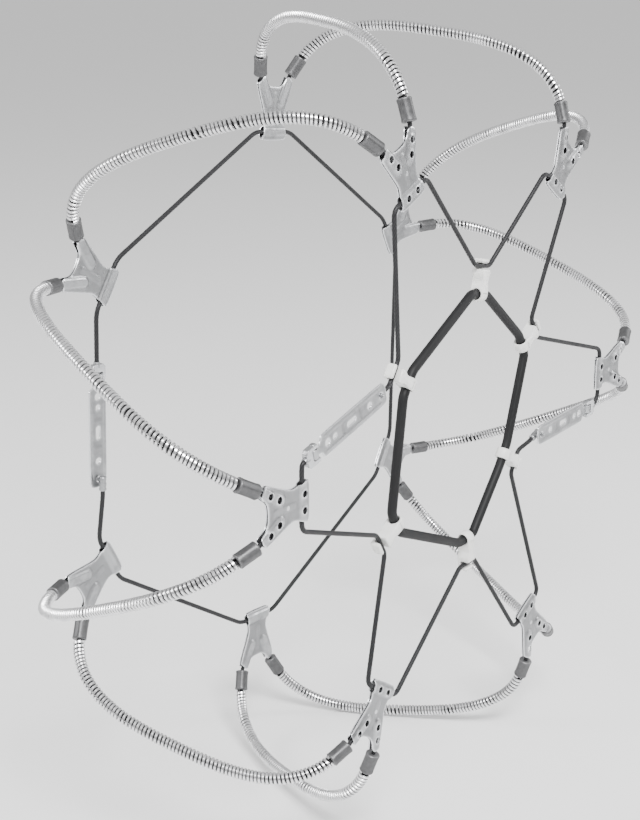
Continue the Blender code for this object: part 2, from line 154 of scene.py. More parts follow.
class ChainColourSettings(bpy.types.PropertyGroup):
    """Colours of the finishes."""
    zinc: colour("Zinc", "Bright zinc plate", (0.43, 0.435, 0.445, 1.0))
    coil: colour("Coil", "Bright wound wire", (0.74, 0.74, 0.75, 1.0))
    ferrule: colour("Ferrule", "Grey crimped ferrules", (0.12, 0.12, 0.123, 1.0))
    rope: colour("Rope", "Dark oiled strands", (0.016, 0.016, 0.017, 1.0))
    rubber: colour("Rubber", "Black rubber", (0.005, 0.005, 0.0055, 1.0))
    nylon: colour("Nylon", "White moulded hooks", (0.74, 0.74, 0.72, 1.0))
    floor: colour("Floor", "Pale studio floor", (0.88, 0.88, 0.88, 1.0))


SETTINGS = {
    "chain_route": ChainRouteSettings, "chain_coil": ChainCoilSettings,
    "chain_plate": ChainPlateSettings, "chain_cable": ChainCableSettings,
    "chain_strip": ChainStripSettings, "chain_colour": ChainColourSettings,
}


# ------------------------------------------------------------------ shader expressions

class Sock:
    """A node output that takes part in arithmetic; each operator adds one Math node."""

    def __init__(self, tree, socket):
        self.tree, self.socket = tree, socket

    def maths(self, operation, *values):
        return self.tree.node("ShaderNodeMath", values, operation=operation)

    def __add__(self, other): return self.maths("ADD", self, other)
    def __radd__(self, other): return self.maths("ADD", other, self)
    def __sub__(self, other): return self.maths("SUBTRACT", self, other)
    def __rsub__(self, other): return self.maths("SUBTRACT", other, self)
    def __mul__(self, other): return self.maths("MULTIPLY", self, other)
    def __rmul__(self, other): return self.maths("MULTIPLY", other, self)

    def clamp(self):
        return self.tree.node("ShaderNodeClamp", (self, 0.0, 1.0))


class Shading:
    """A node tree with one shader that numbers, colours and sockets are set on."""

    def __init__(self, tree, shader):
        self.nodes, self.links = tree.nodes, tree.links
        self.shader = self.nodes[shader]

    def node(self, kind, values=(), output=0, stops=(), **settings):
        """Add a node: its settings and a ramp's stops first, then its sockets by order or name."""
        made = self.nodes.new(kind)
        for key, value in settings.items():
            setattr(made, key, value)
        if stops:
            ramp = made.color_ramp
            while len(ramp.elements) < len(stops):
                ramp.elements.new(0.5)
            for element, (place, shade) in zip(ramp.elements, stops):
                element.position, element.color = place, (shade, shade, shade, 1.0)
        pairs = values.items() if isinstance(values, dict) else enumerate(values)
        for key, value in pairs:
            self.feed(made.inputs[key], value)
        return Sock(self, made.outputs[output])

    def feed(self, entry, value):
        if isinstance(value, Sock):
            self.links.new(value.socket, entry)
        else:
            entry.default_value = value

    def set(self, name, value):
        self.feed(self.shader.inputs[name], value)


class Surface(Shading):
    """One material: its Principled shader and short ways to add the nodes it uses."""

    def __init__(self, name, roughness, metallic):
        self.material = bpy.data.materials.new(f"{name}_look")
        self.material.use_nodes = True
        super().__init__(self.material.node_tree, "Principled BSDF")
        self.set("Roughness", roughness)
        self.set("Metallic", metallic)

    def place(self):
        """Position on the object in metres."""
        return self.node("ShaderNodeTexCoord", output="Object")

    def uv(self):
        return self.node("ShaderNodeTexCoord", output="UV")

    def noise(self, vector, scale, detail=3.0):
        return self.node("ShaderNodeTexNoise", {"Vector": vector, "Scale": scale,
                                                "Detail": detail, "Roughness": 0.55})

    def streaks(self, stretch, scale):
        """Noise drawn out along the piece's own surface map."""
        mapped = self.node("ShaderNodeMapping", {"Vector": self.uv(), "Scale": stretch})
        return self.noise(mapped, scale, 2.0)

    def patches(self, noise, low, high):
        """A mask that rises from 0 to 1 as the noise goes from low to high."""
        grey = self.node("ShaderNodeValToRGB", (noise,), stops=((low, 0.0), (high, 1.0)))
        return self.node("ShaderNodeSeparateColor", (grey,))

    def mix(self, factor, first, second):
        """Blend two colours; sockets 6 and 7 are the colour inputs, 2 the colour output."""
        return self.node("ShaderNodeMix", {0: factor, 6: first, 7: second}, output=2,
                         data_type="RGBA")

    def attribute(self, name):
        return self.node("ShaderNodeAttribute", output="Fac", attribute_name=name)

    def bump(self, height, strength, distance):
        self.set("Normal", self.node("ShaderNodeBump", {"Strength": strength, "Distance": distance,
                                                        "Height": height}))


def shaded(base, factor):
    """A colour made lighter or darker, worked out in Python."""
    return tuple(min(1.0, c * factor) for c in base[:3]) + (1.0,)


def zinc_plate(base):
    """Bright zinc: fine spangle, dull film in patches, painted valley shade, bright edges of rubbed
    wear and painted highlight.
    """
    s = Surface("zinc_plate", 0.3, 1.0)
    place = s.place()
    spangle = s.node("ShaderNodeTexVoronoi", {"Vector": place, "Scale": 330.0}, output="Color")
    cells = s.node("ShaderNodeSeparateColor", (spangle,))
    film = s.patches(s.noise(place, 55.0, 5.0), 0.38, 0.66)
    scuffs = s.noise(place, 900.0, 2.0)
    wear_and_highlight = s.attribute("edge")
    # Painted shade: where the crest mark is low, in the valleys, the zinc is darkened.
    valley_shade = s.mix(s.attribute("crest"), shaded(base, 0.62), base)
    tone = s.mix((film * 0.45 + cells * 0.20).clamp(), valley_shade, shaded(base, 0.55))
    # Painted highlight with rubbed wear: the edge mark brightens the zinc to twice its colour.
    s.set("Base Color", s.mix((wear_and_highlight * 0.8).clamp(), tone, shaded(base, 2.0)))
    s.set("Roughness", (0.24 + cells * 0.07 + film * 0.20 + scuffs * 0.08 - wear_and_highlight * 0.08).clamp())
    s.bump(scuffs * 0.5 + s.noise(place, 240.0, 3.0), 0.16, 0.0002)
    return s.material


def coil_wire(base):
    """Wound wire: bright on its outer face, painted shade at its sides between the turns, darker
    grime in patches, drawn lines along it.
    """
    s = Surface("coil_wire", 0.22, 1.0)
    place = s.place()
    depth = s.attribute("crest")
    grime = s.noise(place, 85.0, 4.0)
    drawn = s.streaks((3.0, 90.0, 1.0), 4.0)
    # Painted shade between the turns: the wire darkens towards its sides, where the crest mark
    # falls, plus random grime.
    dark = ((0.94 - depth) * 1.9 + (grime - 0.5) * 0.8).clamp()
    s.set("Base Color", s.mix(dark, shaded(base, 1.10), shaded(base, 0.05)))
    s.set("Roughness", (0.17 + dark * 0.30 + drawn * 0.10 + grime * 0.06).clamp())
    s.bump(drawn * 0.4 + grime, 0.10, 0.0002)
    return s.material


def crimped_ferrule(base):
    """Grey phosphated steel, mottled, with tool marks and lighter edges of rubbed wear and painted
    highlight.
    """
    s = Surface("crimped_ferrule", 0.42, 0.85)
    place = s.place()
    mottle = s.noise(place, 210.0, 4.0)
    marks = s.streaks((60.0, 4.0, 1.0), 3.0)
    wear_and_highlight = s.attribute("edge")
    tone = s.mix((mottle * 1.3 - 0.3).clamp(), shaded(base, 0.70), shaded(base, 1.25))
    # Lighter edges: rubbed wear and a painted highlight, from the edge mark.
    s.set("Base Color", s.mix((wear_and_highlight * 0.75).clamp(), tone, shaded(base, 2.0)))
    s.set("Roughness", (0.30 + mottle * 0.22 + marks * 0.10).clamp())
    s.bump(mottle + marks * 0.7, 0.22, 0.0003)
    return s.material


def wire_rope(base):
    """Dark oiled strands: painted highlight on the strands' crowns, painted shade in the grooves,
    oil in patches.
    """
    s = Surface("wire_rope", 0.36, 0.35)
    s.set("Specular IOR Level", 0.22)
    place = s.place()
    crest = s.attribute("crest")
    oil = s.noise(place, 70.0, 3.0)
    wires = s.node("ShaderNodeTexWave", {"Vector": s.uv(), "Scale": 26.0, "Distortion": 0.4},
                   output="Fac", bands_direction="DIAGONAL")
    # Painted highlight on the strands' crowns and painted shade in their grooves, from the crest
    # mark.
    tone = s.mix((crest * 0.8 + wires * 0.2).clamp(), shaded(base, 0.35), shaded(base, 2.6))
    s.set("Base Color", s.mix((oil * 0.55).clamp(), tone, shaded(base, 0.8)))
    s.set("Roughness", (0.24 + oil * 0.26 + (1.0 - crest) * 0.15).clamp())
    s.bump(wires * 0.6 + oil * 0.4, 0.25, 0.0002)
    return s.material


def moulded_rubber(base):
    """Black rubber: fine grain, a grey bloom in patches and a paler mould line."""
    s = Surface("moulded_rubber", 0.5, 0.0)
    place = s.place()
    bloom = s.noise(place, 32.0, 5.0)
    grain = s.noise(place, 1500.0, 2.0)
    seam = s.attribute("edge")
    s.set("Base Color", s.mix((bloom * 0.9 - 0.2 + seam * 0.3).clamp(), base, shaded(base, 2.3)))
    s.set("Roughness", (0.36 + bloom * 0.24 + grain * 0.12).clamp())
    s.set("Specular IOR Level", 0.25)
    s.bump(grain + bloom * 0.4, 0.20, 0.00025)
    return s.material


def moulded_nylon(base):
    """White moulded nylon: faint flow clouding, fine texture and grey scuffs."""
    s = Surface("moulded_nylon", 0.36, 0.0)
    place = s.place()
    cloud = s.noise(place, 60.0, 3.0)
    grain = s.noise(place, 1100.0, 2.0)
    scuff = s.patches(s.noise(place, 260.0, 6.0), 0.60, 0.74)
    tone = s.mix((cloud * 0.6).clamp(), base, shaded(base, 0.90))
    s.set("Base Color", s.mix((scuff * 0.30).clamp(), tone, shaded(base, 0.62)))
    s.set("Roughness", (0.28 + grain * 0.12 + scuff * 0.20).clamp())
    s.set("Subsurface Weight", 0.08)
    s.set("Subsurface Radius", (0.004, 0.004, 0.004))
    s.bump(grain, 0.10, 0.0002)
    return s.material


def studio_floor(base):
    """Plain pale floor with the faintest unevenness."""
    s = Surface("studio_floor", 0.6, 0.0)
    wash = s.noise(s.place(), 1.5, 2.0)
    s.set("Base Color", s.mix((wash * 0.10).clamp(), base, shaded(base, 0.96)))
    return s.material


FINISHES = {"zinc": zinc_plate, "coil": coil_wire, "ferrule": crimped_ferrule, "rope": wire_rope,
            "rubber": moulded_rubber, "nylon": moulded_nylon, "floor": studio_floor}


def finish(name):
    """The named finish, made once from the colour settings."""
    made = bpy.data.materials.get(f"{FINISHES[name].__name__}_look")
    return made or FINISHES[name](tuple(getattr(bpy.context.scene.chain_colour, name)))


# ------------------------------------------------------------------ places on the wheel

def radial(angle):
    turn = math.radians(angle)
    return np.array((math.sin(turn), 0.0, math.cos(turn)))


def tangent(angle):
    turn = math.radians(angle)
    return np.array((math.cos(turn), 0.0, -math.sin(turn)))


def on_wheel(angle, radius, y=0.0, along=0.0):
    return radial(angle) * radius + tangent(angle) * along + np.array((0.0, y, 0.0))


def unit(vector):
    return vector / np.linalg.norm(vector)


def placing(origin, x_axis, z_axis):
    """Rows of an affine frame: x along a length, z along a normal, y completing them."""
    x_axis, z_axis = unit(np.asarray(x_axis, float)), unit(np.asarray(z_axis, float))
    return np.array((x_axis, np.cross(z_axis, x_axis), z_axis)), np.asarray(origin, float)


def placed(points, place):
    """Points of a local frame moved to the wheel."""
    axes, origin = place
    return points @ axes + origin


def spot_on(place, x=0.0, y=0.0, z=0.0):
    """One point of a local frame, on the wheel."""
    return placed(np.array((x, y, z)), place)


def plate_place(angle, side):
    sizes = bpy.context.scene.chain_plate
    return placing(on_wheel(angle, sizes.radius, side * sizes.offset), -side * tangent(angle),
                   (0.0, side, 0.0))


# ------------------------------------------------------------------ surfaces from arrays

# How meshes are shaded and cords are laid.
ROUND_LIMIT = math.radians(38.0)
CORNER_SAMPLES = 11
NEARLY_HALF = 0.48
ROPE_SPACING = 0.0012
ROPE_STRANDS = 6
ROPE_GROOVE = 0.12


def linked(name, data):
    """A new object of some data, linked to the scene."""
    thing = bpy.data.objects.new(name, data)
    bpy.context.scene.collection.objects.link(thing)
    return thing


class Shell:
    """Vertices, faces and attributes of one piece, gathered from several computed surfaces."""

    def __init__(self):
        self.points, self.faces, self.slots, self.uvs = [], [], [], []
        self.marks = {"edge": [], "crest": []}
        self.count = 0

    def add(self, points, faces, slot=0, uv=None, **marks):
        self.points.append(points)
        self.faces += [tuple(int(i) + self.count for i in face) for face in faces]
        self.slots += [slot] * len(faces)
        self.uvs.append(np.zeros((len(points), 2)) if uv is None else uv)
        for key, store in self.marks.items():
            value = marks.get(key, 0.0)
            store.append(np.broadcast_to(np.asarray(value, float), (len(points),)))
        self.count += len(points)

    def grid(self, points, closed=False, slot=0, place=None, **marks):
        """A surface of two parameters: points[i, j], i along the piece and j round it.

        It is a ring if closed, and otherwise it has a cap at each end.
        """
        rows, columns = points.shape[:2]
        i = np.arange(rows if closed else rows - 1)[:, None]
        j = np.arange(columns)[None, :]
        here, right = i * columns + j, i * columns + (j + 1) % columns
        below = ((i + 1) % rows) * columns
        faces = np.stack(np.broadcast_arrays(here, below + j, below + (j + 1) % columns, right), -1)
        faces = faces.reshape(-1, 4).tolist()
        flat = points.reshape(-1, 3)
        marks = {key: np.broadcast_to(value, (rows, columns)).ravel()
                 for key, value in marks.items()}
        if not closed:
            faces.append(list(range(columns)))
            faces.append([(rows - 1) * columns + k for k in reversed(range(columns))])
        u, v = np.meshgrid(np.linspace(0, 1, rows), np.linspace(0, 1, columns), indexing="ij")
        if place is not None:
            flat = placed(flat, place)
        self.add(flat, faces, slot, np.stack((u.ravel(), v.ravel()), 1), **marks)

    def object(self, name, finishes, body):
        """The shell as an object that rides on a body, with one finish for each slot."""
        mesh = bpy.data.meshes.new(name)
        mesh.from_pydata(np.concatenate(self.points), [], self.faces)
        for label in finishes:
            mesh.materials.append(finish(label))
        mesh.polygons.foreach_set("material_index", self.slots)
        loops = np.empty(len(mesh.loops), np.int32)
        mesh.loops.foreach_get("vertex_index", loops)
        layer = mesh.uv_layers.new(name="surface")
        surface = np.concatenate(self.uvs)[loops]
        layer.data.foreach_set("uv", surface.astype(np.float32).ravel())
        for key, store in self.marks.items():
            attribute = mesh.attributes.new(key, "FLOAT", "POINT")
            attribute.data.foreach_set("value", np.concatenate(store).astype(np.float32))
        mesh.validate()
        outward(mesh)
        mesh.shade_smooth()
        mesh.set_sharp_from_angle(angle=ROUND_LIMIT)
        thing = linked(name, mesh)
        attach(thing, body)
        return thing


def outward(mesh):
    """Turn every closed part of a mesh so that its faces point out."""
    shape = bmesh.new()
    shape.from_mesh(mesh)
    bmesh.ops.recalc_face_normals(shape, faces=shape.faces)
    shape.to_mesh(mesh)
    shape.free()


def measured(line):
    """Distance along a polyline at each of its points."""
    steps = np.linalg.norm(np.diff(line, axis=0), axis=1)
    return np.concatenate(([0.0], np.cumsum(steps)))


def points_at(line, distances):
    """Points of a polyline at distances along it."""
    run = measured(line)
    return np.stack([np.interp(distances, run, line[:, k]) for k in range(line.shape[1])], 1)


def resample(line, spacing, closed=False):
    """Points evenly spaced along a polyline."""
    if closed:
        line = np.vstack((line, line[:1]))
    whole = measured(line)[-1]
    count = max(4, int(round(whole / spacing)))
    found = points_at(line, np.linspace(0.0, whole, count + 1))
    return found[:-1] if closed else found


def rounded(stations):
    """Round every inner corner of a route with a parabola; stations are (point, reach) pairs.

    It starts at reach from its corner, or nearly halfway to the next corner if that is closer.
    """
    route = [stations[0][0][None]]
    f = np.linspace(0.0, 1.0, CORNER_SAMPLES)[:, None]
    for (before, _), (corner, reach), (after, _) in zip(stations, stations[1:], stations[2:]):
        back, ahead = before - corner, after - corner
        reach = min(reach, NEARLY_HALF * np.linalg.norm(back), NEARLY_HALF * np.linalg.norm(ahead))
        start, end = corner + unit(back) * reach, corner + unit(ahead) * reach
        route.append(start * (1 - f) ** 2 + corner * 2 * f * (1 - f) + end * f ** 2)
    return np.concatenate(route + [stations[-1][0][None]])


def circle(count):
    """Angles evenly spaced round a circle."""
    return np.linspace(0.0, 2 * math.pi, count, endpoint=False)


def polar(radius, angle):
    """Plane points (r cos a, r sin a)."""
    return np.stack((radius * np.cos(angle), radius * np.sin(angle)), -1)


def frames_along(path, lean, closed=False):
    """Two unit normals and the heading along a path: the first is the lean less its part ahead."""
    ahead = np.roll(path, -1, axis=0) - np.roll(path, 1, axis=0)
    if not closed:
        ahead[0], ahead[-1] = path[1] - path[0], path[-1] - path[-2]
    ahead /= np.linalg.norm(ahead, axis=1, keepdims=True)
    normal = lean - ahead * (lean * ahead).sum(1, keepdims=True)
    normal /= np.linalg.norm(normal, axis=1, keepdims=True)
    return normal, np.cross(ahead, normal), ahead


def axle_lean(path):
    """The axle's direction at every point, for a cord that lies in the plane of the wheel."""
    return np.broadcast_to((0.0, 1.0, 0.0), path.shape)


def tread_lean(path):
    """The direction round the wheel at every point, for a cord that crosses the tread."""
    round_wheel = np.stack((path[:, 2], 0.0 * path[:, 0], -path[:, 0]), 1)
    return round_wheel / np.linalg.norm(round_wheel, axis=1, keepdims=True)


def swept(path, section, lean, closed=False):
    """Carry section[i, j, (a, b)] along a path: point = path + a * normal + b * binormal."""
    normal, side, _ = frames_along(path, lean(path), closed)
    return path[:, None] + section[..., :1] * normal[:, None] + section[..., 1:] * side[:, None]


def twisted_rope(shell, path, radius, lean, around=24):
    """Strands laid round a rope: radius = R (1 - g + g |cos(n/2 (angle - turn))|).

    n is the number of strands, g the depth of the grooves between them, and turn grows by one
    circle for each lay along the path.
    """
    lay = bpy.context.scene.chain_cable.lay
    angle = circle(around)[None]
    turn = 2 * math.pi * measured(path)[:, None] / lay
    crest = np.abs(np.cos(ROPE_STRANDS / 2.0 * (angle - turn)))
    section = polar(radius * (1.0 - ROPE_GROOVE + ROPE_GROOVE * crest), angle)
    # crest drives the rope's painted highlight on the crowns and painted shade in the grooves.
    shell.grid(swept(path, section, lean), crest=crest)


def turned(shell, stations, start, heading, around=28, slot=0, crimps=None, edge=None):
    """Turn a profile: stations are (distance along the axis, radius); crimps press in flats."""
    along, radius = np.array(stations, float).T
    angle = circle(around)[None]
    size = np.repeat(radius[:, None], around, 1)
    if crimps is not None:
        size = size * crimps(along[:, None], angle)
    axis = unit(heading)
    helper = np.array((0.0, 1.0, 0.0)) if abs(axis[1]) < 0.9 else np.array((1.0, 0.0, 0.0))
    first = unit(np.cross(axis, helper))
    round_axis = polar(size, angle) @ np.array((first, np.cross(axis, first)))
    points = start + along[:, None, None] * axis + round_axis
    wear_and_highlight = 0.0 if edge is None else edge(along)[:, None]
    shell.grid(points, slot=slot, edge=wear_and_highlight, crest=1.0)


# ------------------------------------------------------------------ stamped sheets

# A stamped rim: the width of its rounding and its thickness, as shares of the sheet's.
RIM_EASE = 0.45
RIM_THICKNESS = 0.72
# Width of the edge mark at a sheet's rim, where zinc gets rubbed wear and a painted highlight.
WEAR_AND_HIGHLIGHT_RIM = 0.0007
ROW_PITCH = 0.87


def smooth_outline(corners):
    """Cut the corners of a closed outline twice, so that its turns are round."""
    loop = np.array(corners)
    for cut in range(2):
        ahead = np.roll(loop, -1, axis=0)
        loop = np.stack((loop * 0.75 + ahead * 0.25, loop * 0.25 + ahead * 0.75), 1).reshape(-1, 2)
    return loop


def hole_loop(centre, radius, count=20, stretch=0.0):
    """A hole's edge; stretch makes it a slot along x."""
    angle = circle(count)
    loop = polar(radius, angle) + centre
    loop[:, 0] += np.sign(np.cos(angle)) * stretch
    return loop


def loop_distance(points, loop):
    """Distance of every point from a closed polyline."""
    start, end = loop, np.roll(loop, -1, axis=0)
    span = end - start
    offset = points[:, None] - start[None]
    along = np.clip((offset * span).sum(-1) / (span ** 2).sum(-1), 0.0, 1.0)
    return np.linalg.norm(offset - along[..., None] * span[None], axis=-1).min(1)


def inside(points, loop):
    """True where a point lies within a closed polyline, by counting crossings."""
    start, end = loop, np.roll(loop, -1, axis=0)
    x, y = points[:, :1], points[:, 1:]
    straddles = (start[:, 1] > y) != (end[:, 1] > y)
    rise = np.where(end[:, 1] == start[:, 1], 1e-12, end[:, 1] - start[:, 1])
    crossing = start[:, 0] + (y - start[:, 1]) * (end[:, 0] - start[:, 0]) / rise
    return (straddles & (x < crossing)).sum(1) % 2 == 1


def flat_fill(outline, holes, spacing):
    """Loops of the edges, evenly spaced points, and triangles that fill an outline less holes."""
    low, high = outline.min(0), outline.max(0)
    outline = resample(outline, spacing * 0.8, True)
    loops = [outline] + holes
    gx, gy = np.meshgrid(np.arange(low[0], high[0], spacing),
                         np.arange(low[1], high[1], spacing * ROW_PITCH))
    gx[1::2] += spacing / 2.0
    fill = np.stack((gx.ravel(), gy.ravel()), 1)
    keep = inside(fill, outline) & (loop_distance(fill, outline) > spacing * 0.5)
    for hole in holes:
        keep &= ~inside(fill, hole) & (loop_distance(fill, hole) > spacing * 0.45)
    edges, first = [], 0
    for loop in loops:
        edges += [(first + k, first + (k + 1) % len(loop)) for k in range(len(loop))]
        first += len(loop)
    points = np.concatenate(loops + [fill[keep]])
    found = delaunay_2d_cdt([Vector(p) for p in points], edges, [], 0, 1e-9)
    flat = np.array([tuple(p) for p in found[0]])
    triangles = np.array([face for face in found[2] if len(face) == 3])
    middle = flat[triangles].mean(1)
    good = inside(middle, outline)
    for hole in holes:
        good &= ~inside(middle, hole)
    triangles = triangles[good]
    a, b, c = (flat[triangles[:, k]] for k in range(3))
    area = (b[:, 0] - a[:, 0]) * (c[:, 1] - a[:, 1]) - (b[:, 1] - a[:, 1]) * (c[:, 0] - a[:, 0])
    triangles[area < 0] = triangles[area < 0][:, ::-1]
    return loops, flat, triangles


def sheet_thickness(sheet):
    """Half thickness of a sheet, eased at its rims: h (t + (1 - t) sqrt(1 - (1 - d/e)^2)).

    h is half the sheet, t its share at the very rim, d the distance from the rim, e the ease.
    """
    def half(flat, rim):
        ease = np.clip(rim / (sheet * RIM_EASE), 0.0, 1.0)
        return sheet / 2.0 * (RIM_THICKNESS + (1.0 - RIM_THICKNESS)
                              * np.sqrt(1.0 - (1.0 - ease) ** 2))
    return half


def stamped_sheet(outline, holes, level, half, spacing=0.0013):
    """A pressed sheet with two skins: z = level(x, y) +- half(x, y, distance from the rim).

    The flat domain inside the outline and outside the holes is triangulated once; the skins and
    the walls between them follow from it.
    """
    loops, flat, triangles = flat_fill(outline, holes, spacing)
    rim = np.min([loop_distance(flat, loop) for loop in loops], axis=0)
    middle, thick = level(flat), half(flat, rim)
    top = np.column_stack((flat, middle + thick))
    bottom = np.column_stack((flat, middle - thick))
    count = len(flat)
    directed = np.concatenate((triangles[:, [0, 1]], triangles[:, [1, 2]], triangles[:, [2, 0]]))
    codes = directed[:, 0].astype(np.int64) * count + directed[:, 1]
    back = directed[:, 1].astype(np.int64) * count + directed[:, 0]
    start, end = directed[~np.isin(codes, back)].T
    walls = np.column_stack((end, start, start + count, end + count))
    faces = triangles.tolist() + (triangles[:, ::-1] + count).tolist() + walls.tolist()
    # Edge mark: rubbed wear and painted highlight at the rims; crest mark: low in the valleys,
    # where zinc gets painted shade.
    wear_and_highlight = np.exp(-rim / WEAR_AND_HIGHLIGHT_RIM)
    high = (middle - middle.min()) / max(1e-9, np.ptp(middle))
    marks = {"edge": np.concatenate((wear_and_highlight, wear_and_highlight)), "crest": np.concatenate((high, high))}
    return np.concatenate((top, bottom)), faces, marks


def ridge(points, start, end, half_width):
    """1 on a segment, falling as a smooth bell to 0 at twice its half width."""
    span = np.subtract(end, start)
    along = np.clip(((points - start) @ span) / (span @ span), 0.0, 1.0)
    away = np.linalg.norm(points - start - along[:, None] * span, axis=1)
    f = np.clip((away - half_width) / half_width, 0.0, 1.0)
    return 1.0 - f * f * (3.0 - 2.0 * f)


# ------------------------------------------------------------------ cross-members

# Where a plate's arm grips a cross cable and where the cable leaves it, in the plate's frame.
ARM_ANCHOR = (0.0100, 0.0060)
ARM_EXIT = (0.0245, 0.0345)
SECTION_SAMPLES = 1200
LINE_SPACING = 0.0004
FERRULE_CLEARANCE = 0.001

# How unevenly a coil is wound: knots of slow noise over its turns.
COIL_END_GAP = 0.0006
TURNS_PER_KNOT = 3
PITCH_SPREAD = 0.10
OPENED_SHARE = 0.10
OPENED_PACE = 0.70
SIZE_SPREAD = 0.03
WIRE_ROUNDING = 0.8

# A ferrule's pressed flats and its chamfer, as (distance from its end, depth under its skin).
CRIMP_COUNT = 6
CRIMP_DEPTH = 0.065
CRIMP_SPREAD = 0.78
FERRULE_MOUTH = 0.0004
FERRULE_CHAMFER = ((0.0, 0.0022), (0.0002, 0.0011), (0.0006, 0.0004))
FERRULE_LAND = 0.0012
FERRULE_GRIP = 0.9
WEAR_AND_HIGHLIGHT_END = 0.0008


def cross_path(outer_angle, inner_angle):
    """Fine line of one cross-member from plate edge to plate edge, and its anchors in the arms.

    The line keeps to |y/a|^3 + |(r-m)/b|^3 = 1, and its angle on the wheel changes evenly with
    the distance along that section.
    """
    sizes, plate = bpy.context.scene.chain_route, bpy.context.scene.chain_plate
    swing = 1.0 if inner_angle > outer_angle else -1.0
    exit_radius = plate.radius + ARM_EXIT[1]
    exit_turn = math.degrees(math.atan2(ARM_EXIT[0], exit_radius)) * swing
    power = 2.0 / sizes.squareness
    climb = math.asin(((exit_radius - sizes.mid_radius) / sizes.rise) ** (1.0 / power))
    sweep = np.linspace(climb, math.pi - climb, SECTION_SAMPLES)
    y = -np.sign(np.cos(sweep)) * np.abs(np.cos(sweep)) ** power * sizes.half_width
    r = sizes.mid_radius + sizes.rise * np.sin(sweep) ** power
    along = measured(np.stack((y, r), 1))
    start, end = outer_angle + exit_turn, inner_angle - exit_turn
    angle = np.radians(start + (end - start) * along / along[-1])
    line = np.stack((r * np.sin(angle), y, r * np.cos(angle)), 1)
    line[0, 1], line[-1, 1] = -plate.offset, plate.offset
    run = measured(line)
    reach = sizes.ferrule_start + sizes.ferrule_length + FERRULE_CLEARANCE
    keep = (run > reach) & (run < run[-1] - reach)
    keep[[0, -1]] = True
    line = resample(line[keep], LINE_SPACING)
    anchor = plate.radius + ARM_ANCHOR[1]
    near = on_wheel(outer_angle, anchor, -plate.offset, swing * ARM_ANCHOR[0])
    far = on_wheel(inner_angle, anchor, plate.offset, -swing * ARM_ANCHOR[0])
    return line, near, far


def cross_pairs():
    """Every cross-member as its outer plate's angle and its inner plate's angle beside it."""
    for index, outer in enumerate(PLATE_ANGLES):
        for inner, swing in ((INNER_ANGLES[index - 1], -1.0), (INNER_ANGLES[index], 1.0)):
            yield outer, outer + swing * ((swing * (inner - outer)) % 360.0)


def coil_shell(line, seed):
    """Wound wire: a helix round the line, its turns opening a little at random.

    Turn angle grows by one circle for each pitch; the pitch is stretched by slow noise, so that
    small gaps open, and the wire's section is a flattened circle standing on the helix.
    """
    sizes, route = bpy.context.scene.chain_coil, bpy.context.scene.chain_route
    first = route.ferrule_start + route.ferrule_length + COIL_END_GAP
    stretch = measured(line)[-1] - 2.0 * first
    turns = stretch / sizes.pitch
    t = np.linspace(0.0, 1.0, int(turns * sizes.steps) + 1)
    rng = np.random.default_rng(seed)
    knots = np.linspace(0.0, 1.0, int(turns / TURNS_PER_KNOT))
    pace = 1.0 + PITCH_SPREAD * rng.standard_normal(len(knots))
    pace[rng.random(len(knots)) < OPENED_SHARE] *= OPENED_PACE
    pace = np.interp(t, knots, pace)
    phase = np.concatenate(([0.0], np.cumsum((pace[1:] + pace[:-1]) / 2.0)))
    phase *= 2.0 * math.pi * turns / phase[-1]
    centre = points_at(line, first + stretch * t)
    up, side, ahead = frames_along(centre, tread_lean(centre))
    half_wire, half_width = sizes.wire / 2.0, sizes.wire_width / 2.0
    tightness = 1.0 - SIZE_SPREAD * rng.random(len(knots))
    size = (sizes.radius - half_wire) * np.interp(t, knots, tightness)
    spoke = np.cos(phase)[:, None] * up + np.sin(phase)[:, None] * side
    angle = circle(sizes.sides) + math.pi / sizes.sides
    height = half_wire * np.sign(np.cos(angle)) * np.abs(np.cos(angle)) ** WIRE_ROUNDING
    width = half_width * np.sign(np.sin(angle)) * np.abs(np.sin(angle)) ** WIRE_ROUNDING
    points = (centre[:, None] + (size[:, None, None] + height[None, :, None]) * spoke[:, None]
              + width[None, :, None] * ahead[:, None])
    shell = Shell()
    # The crest mark is 1 on the wire's outer face and 0 on its inner face; coil_wire paints shade
    # from it.
    shell.grid(points, crest=np.cos(angle) * 0.5 + 0.5)
    return shell


def crimp_flats(along, angle):
    """Flats pressed between round ends: factor = 1 - d band (0.5 + 0.5 cos(n angle))^0.7."""
    middle = bpy.context.scene.chain_route.ferrule_length / 2.0
    band = np.exp(-((along - middle) / (middle * CRIMP_SPREAD)) ** 8)
    return 1.0 - CRIMP_DEPTH * band * (0.5 + 0.5 * np.cos(CRIMP_COUNT * angle)) ** 0.7


# The edge mark near both ends, where the ferrule gets rubbed wear and a painted highlight.
def ferrule_edges(along):
    span = bpy.context.scene.chain_route.ferrule_length
    return np.exp(-along / WEAR_AND_HIGHLIGHT_END) + np.exp(-(span - along) / WEAR_AND_HIGHLIGHT_END)


def ferrule_profile(span, radius, bore):
    """Stations of a ferrule with chamfered ends, closed down to the cable it grips."""
    near = [(FERRULE_MOUTH, bore)] + [(x, radius - drop) for x, drop in FERRULE_CHAMFER]
    body = [(x, radius) for x in np.linspace(FERRULE_LAND, span - FERRULE_LAND, 25)]
    return near + body + [(span - x, size) for x, size in near[:0:-1] + near[:1]]


